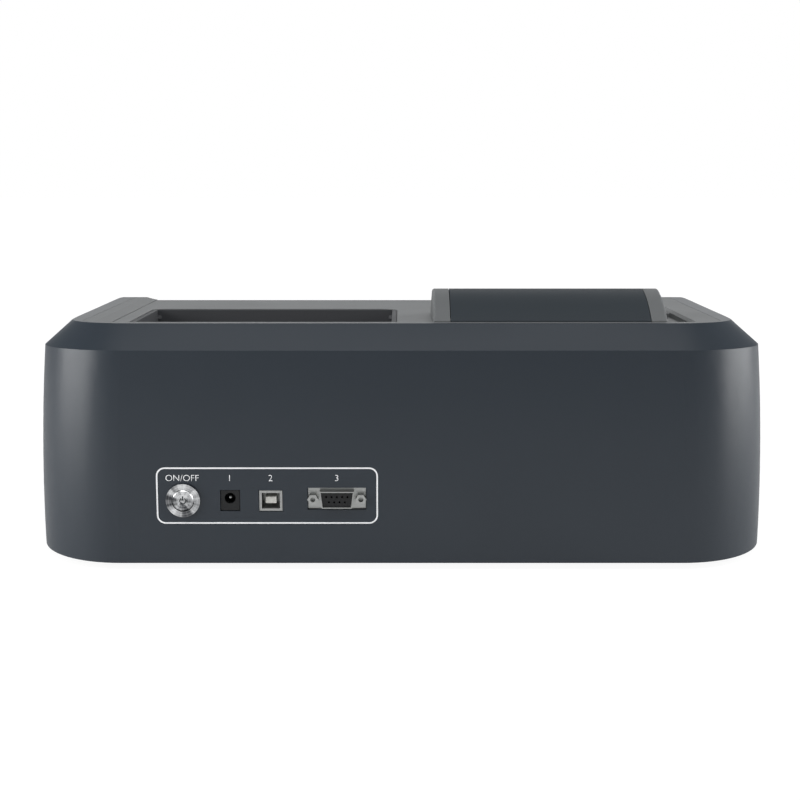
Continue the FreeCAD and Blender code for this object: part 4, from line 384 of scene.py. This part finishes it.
def press_on(piece: bpy.types.Object, target: str, lift: float, thickness: float) -> None:
    """Lays a flat print on a wall that bows, then gives it the thickness of ink.

    Args:
        piece: The flat print, standing behind the wall and facing it.
        target: The node that it is printed on.
        lift: Distance above the wall in metres.
        thickness: Thickness of the ink in metres.
    """
    deselect()
    piece.select_set(True)
    bpy.context.view_layer.objects.active = piece
    bpy.ops.object.transform_apply(location=True, rotation=True, scale=True)
    wrap = piece.modifiers.new("Wrap", "SHRINKWRAP")
    wrap.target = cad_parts[target]
    wrap.wrap_method = "PROJECT"
    wrap.use_project_y = True
    wrap.use_negative_direction = True
    wrap.use_positive_direction = True
    wrap.offset = lift
    bpy.ops.object.modifier_apply(modifier=wrap.name)
    skin = piece.modifiers.new("Ink", "SOLIDIFY")
    skin.thickness = thickness
    skin.offset = 0.0
    bpy.ops.object.modifier_apply(modifier=skin.name)


@dataclass
class RearLegend:
    """The white outline and the captions printed round the rear ports.

    Attributes:
        left: Lowest X of the outline in millimetres.
        right: Highest X.
        bottom: Lowest Z.
        top: Highest Z.
        corner: Radius of its corners.
        line: Width of its line.
        caption_height: Height of a capital letter.
        caption_z: Height of the captions' foot.
        captions: Text and the X of its middle.
        start: Y at which the flat print stands before it is laid on the wall.
        ink: Thickness of the ink, and its distance above the wall.
        thinning: How much the letters' strokes are drawn in.
        capital: Height of a capital letter as a share of the type's size.
        corner_steps: Straight steps in each rounded corner.
        cuts: Cuts in each edge, so that the line follows the bowed wall.
    """

    left: float = 12.4
    right: float = 127.9
    bottom: float = 25.6
    top: float = 55.9
    corner: float = 4.6
    line: float = 0.8
    caption_height: float = 3.5
    caption_z: float = 48.6
    captions: list[tuple[str, float]] = field(default_factory=lambda: [
        ("ON/OFF", 114.3), ("1", 89.6), ("2", 68.3), ("3", 33.8)])
    start: float = 150.0
    ink: float = 0.03
    thinning: float = 0.05
    capital: float = 0.72
    corner_steps: int = 10
    cuts: int = 5

    def build(self) -> None:
        """Prints the outline and every caption."""
        self.outline()
        for text, middle in self.captions:
            self.caption(text, middle)

    def outline(self) -> bpy.types.Object:
        """Cuts a rounded frame out of a sheet and lays it on the wall."""
        deselect()
        centre = ((self.left + self.right) / 2 * MM, self.start * MM, (self.bottom + self.top) / 2 * MM)
        bpy.ops.mesh.primitive_plane_add(size=1.0, location=centre, rotation=(-math.pi / 2, 0, 0))
        sheet = bpy.context.object
        sheet.scale = ((self.right - self.left) * MM, (self.top - self.bottom) * MM, 1)
        bpy.ops.object.transform_apply(location=True, rotation=True, scale=True)
        bpy.ops.object.mode_set(mode="EDIT")
        bpy.ops.mesh.select_all(action="SELECT")
        bpy.ops.mesh.bevel(offset=self.corner * MM, segments=self.corner_steps, affect="VERTICES")
        bpy.ops.mesh.select_all(action="SELECT")
        bpy.ops.mesh.inset(thickness=self.line * MM, depth=0)
        bpy.ops.mesh.delete(type="FACE")
        bpy.ops.mesh.select_all(action="SELECT")
        bpy.ops.mesh.subdivide(number_cuts=self.cuts)
        bpy.ops.object.mode_set(mode="OBJECT")
        press_on(sheet, "upper_housing", self.ink * MM, self.ink * MM)
        return finish_piece(sheet, "legend_outline", WHITE_INK, "instrument")

    def caption(self, text: str, middle: float) -> bpy.types.Object:
        """Prints one caption.

        Args:
            text: What it says.
            middle: X of its middle in millimetres.

        Returns:
            The caption's mesh.
        """
        deselect()
        bpy.ops.object.text_add(location=(middle * MM, self.start * MM, self.caption_z * MM),
                                rotation=(math.pi / 2, 0, math.pi))
        word = bpy.context.object
        word.data.body = text
        word.data.size = self.caption_height / self.capital * MM
        word.data.align_x = "CENTER"
        word.data.resolution_u = 6
        word.data.offset = -self.thinning * MM
        bpy.ops.object.convert(target="MESH")
        word = bpy.context.object
        press_on(word, "upper_housing", self.ink * MM, self.ink * MM)
        name = "caption_" + ("on_off" if "/" in text else text)
        return finish_piece(word, name, WHITE_INK, "instrument")


@dataclass
class PowerMark:
    """The power symbol marked in the face of the push button.

    Attributes:
        radius: Mid radius of the broken ring in millimetres.
        line: Width of its line.
        gap: Angle of the opening at the top, in degrees.
        face: Y of the mark.
        depth: Thickness of the mark.
        strip: Height of the strip that is spun into the ring.
        steps: Straight steps round the ring.
        reach: Length of the bar as a share of the ring's radius.
    """

    radius: float = 1.55
    line: float = 0.5
    gap: float = 70.0
    face: float = 149.0
    depth: float = 0.03
    strip: float = 0.01
    steps: int = 40
    reach: float = 1.2

    def build(self) -> bpy.types.Object:
        """Spins the broken ring, adds the bar and joins the two."""
        x, _, z = BUTTON_CENTRE
        deselect()
        bpy.ops.mesh.primitive_plane_add(size=1.0, location=(0, 0, 0), rotation=(-math.pi / 2, 0, 0))
        ring = bpy.context.object
        ring.scale = (self.line * MM, self.strip * MM, 1)
        bpy.ops.object.transform_apply(location=True, rotation=True, scale=True)
        bpy.ops.object.mode_set(mode="EDIT")
        bpy.ops.mesh.select_all(action="SELECT")
        bpy.ops.transform.translate(value=(0, 0, self.radius * MM))
        bpy.ops.transform.rotate(value=math.pi / 2, orient_axis="Y",
                                 center_override=(0, 0, self.radius * MM))
        bpy.ops.transform.rotate(value=math.radians(self.gap / 2), orient_axis="Y",
                                 center_override=(0, 0, 0))
        bpy.ops.mesh.spin(steps=self.steps, angle=math.radians(360 - self.gap), center=(0, 0, 0),
                          axis=(0, 1, 0))
        bpy.ops.object.mode_set(mode="OBJECT")
        deselect()
        bpy.ops.mesh.primitive_plane_add(size=1.0, location=(0, 0, self.radius * MM),
                                         rotation=(-math.pi / 2, 0, 0))
        bar = bpy.context.object
        bar.scale = (self.line * MM, self.radius * self.reach * MM, 1)
        bpy.ops.object.transform_apply(location=True, rotation=True, scale=True)
        ring.select_set(True)
        bpy.context.view_layer.objects.active = ring
        bpy.ops.object.join()
        ring.location = (x * MM, self.face * MM, z * MM)
        bpy.ops.object.mode_set(mode="EDIT")
        bpy.ops.mesh.select_all(action="SELECT")
        bpy.ops.mesh.remove_doubles(threshold=MERGE)
        bpy.ops.object.mode_set(mode="OBJECT")
        skin = ring.modifiers.new("Mark", "SOLIDIFY")
        skin.thickness = self.depth * MM
        skin.offset = 0.0
        bpy.ops.object.modifier_apply(modifier=skin.name)
        return finish_piece(ring, "power_mark", MARKED, "power_button")


@dataclass
class Interior:
    """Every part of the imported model, dressed in its own finish.

    Attributes:
        finishes: The nodes that each finish goes on.
    """

    finishes: dict[Finish, tuple[str, ...]] = field(default_factory=lambda: NODE_FINISHES)

    def build(self) -> None:
        """Gives each node the finish of its material."""
        for finish, names in self.finishes.items():
            for name in names:
                self.dress(name, finish)
        missing = set(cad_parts) - {n for names in self.finishes.values() for n in names}
        if missing:
            raise ValueError(f"nodes without a finish: {sorted(missing)}")

    def dress(self, name: str, finish: Finish) -> None:
        """Puts a finish in the material slots of one node.

        Args:
            name: The node.
            finish: What it is made of.
        """
        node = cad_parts[name]
        if not node.material_slots:
            node.data.materials.append(finish.material())
        for slot in node.material_slots:
            slot.material = finish.material()
        LOG.info("%s: %s", name, finish.name)


@dataclass(frozen=True)
class Lamp:
    """A soft rectangular lamp.

    Attributes:
        name: Its name.
        place: Where it hangs, in metres.
        aim: What it points at, in metres.
        size: Its width and height in metres.
        power: Its power in watts.
    """

    name: str
    place: tuple[float, float, float]
    aim: tuple[float, float, float]
    size: tuple[float, float]
    power: float

    def build(self) -> None:
        """Hangs the lamp and turns it to its aim."""
        data = bpy.data.lights.new(self.name, "AREA")
        data.shape = "RECTANGLE"
        data.size, data.size_y = self.size
        data.energy = self.power
        lamp = bpy.data.objects.new(self.name, data)
        bpy.context.scene.collection.objects.link(lamp)
        lamp.location = self.place
        lamp.rotation_euler = (Vector(self.aim) - Vector(self.place)).to_track_quat("-Z", "Y").to_euler()


LAMPS = (
    Lamp("Lamp_left", (1.05, 0.42, 0.28), (0.1, 0.1, 0.05), (0.9, 0.8), 13.0),
    Lamp("Lamp_right", (-1.12, 0.1, 0.28), (-0.12, 0.05, 0.05), (1.0, 0.8), 14.0),
    Lamp("Lamp_above", (0.0, 0.6, 1.5), (0.0, 0.1, 0.1), (1.4, 0.8), 11.5),
    Lamp("Lamp_behind", (0.0, -1.6, 0.45), (0.0, 0.0, 0.12), (1.8, 0.5), 3.0),
)


@dataclass
class Studio:
    """A pale floor, soft lamps and the camera.

    Attributes:
        lens: Focal length in millimetres.
        sensor: Width of the sensor in millimetres.
        height: Height of the camera above the bench in metres.
        distance: Y of the camera in metres.
        pitch: Angle that the camera looks down, in degrees.
        shift: Sideways shift of the frame.
        view_end: Furthest distance that the camera sees, in metres.
        room: Strength of the light that comes from all round.
        sheet: Width of the floor in metres.
        paper: Tone of the floor under the lamps.
        lift: What the camera sees on top of that tone.
        glow: Strength of the floor's own white, which only the camera sees.
        glow_share: How much of the floor that the camera sees is this white.
    """

    lens: float = 84.85
    sensor: float = 36.0
    height: float = 0.3122
    distance: float = 1.0928
    pitch: float = 13.107
    shift: float = -0.0022
    view_end: float = 50.0
    room: float = 0.2
    sheet: float = 2.9
    paper: float = 0.72
    lift: float = 0.2
    glow: float = 1.1
    glow_share: float = 0.85

    def build(self) -> None:
        """Sets up the world, the floor, the lamps and the camera."""
        self.world()
        self.floor()
        for lamp in LAMPS:
            lamp.build()
        self.camera()
        bpy.context.scene.view_settings.view_transform = "Standard"

    def world(self) -> None:
        """Lights the room softly and shows it as white to the camera."""
        world = bpy.data.worlds.new("Studio")
        bpy.context.scene.world = world
        world.use_nodes = True
        tree = world.node_tree
        tree.nodes.clear()
        room = add_node(tree, "ShaderNodeBackground",
                        {"Color": (0.93, 0.97, 1.0, 1), "Strength": self.room})
        white = add_node(tree, "ShaderNodeBackground", {"Color": (1, 1, 1, 1), "Strength": 1.0})
        ray = add_node(tree, "ShaderNodeLightPath")
        mix = add_node(tree, "ShaderNodeMixShader",
                       {0: ray.outputs["Is Camera Ray"], 1: room.outputs[0], 2: white.outputs[0]})
        add_node(tree, "ShaderNodeOutputWorld", {"Surface": mix.outputs[0]})

    def floor(self) -> None:
        """Lays a pale floor that keeps a faint shadow."""
        deselect()
        bpy.ops.mesh.primitive_plane_add(size=self.sheet, location=(0, 0, 0))
        sheet = bpy.context.object
        sheet.name = "Floor"
        paper = bpy.data.materials.new("Paper_white_sweep")
        paper.use_nodes = True
        tree = paper.node_tree
        tree.nodes.clear()
        ray = add_node(tree, "ShaderNodeLightPath")
        weave = add_node(tree, "ShaderNodeTexNoise", {"Scale": 900.0, "Detail": 4.0})
        tooth = add_node(tree, "ShaderNodeBump", {"Height": weave.outputs["Fac"], "Distance": 0.0002})
        tint = add_node(tree, "ShaderNodeMath",
                        {0: ray.outputs["Is Camera Ray"], 1: self.lift, 2: self.paper},
                        operation="MULTIPLY_ADD")
        matt = add_node(tree, "ShaderNodeBsdfDiffuse",
                        {"Color": tint.outputs[0], "Normal": tooth.outputs[0]})
        glow = add_node(tree, "ShaderNodeEmission", {"Color": (1, 1, 1, 1), "Strength": self.glow})
        share = add_node(tree, "ShaderNodeMath", {0: ray.outputs["Is Camera Ray"], 1: self.glow_share},
                         operation="MULTIPLY")
        mix = add_node(tree, "ShaderNodeMixShader",
                       {0: share.outputs[0], 1: matt.outputs[0], 2: glow.outputs[0]})
        add_node(tree, "ShaderNodeOutputMaterial", {"Surface": mix.outputs[0]})
        sheet.data.materials.append(paper)

    def camera(self) -> None:
        """Stands the camera behind the object, looking slightly down at its rear wall."""
        data = bpy.data.cameras.new("Camera")
        data.lens = self.lens
        data.sensor_width = self.sensor
        data.shift_x = self.shift
        data.clip_end = self.view_end
        camera = bpy.data.objects.new("Camera", data)
        bpy.context.scene.collection.objects.link(camera)
        camera.location = (0.0, self.distance, self.height)
        camera.rotation_euler = (math.radians(90 - self.pitch), 0.0, math.pi)
        bpy.context.scene.camera = camera


def main() -> None:
    """Builds everything in order."""
    logging.basicConfig(level=logging.INFO, format="%(name)s %(message)s")
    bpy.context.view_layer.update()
    for part in (Interior(), RearLegend(), PowerMark(), Studio()):
        part.build()


if __name__ == "__main__":
    main()
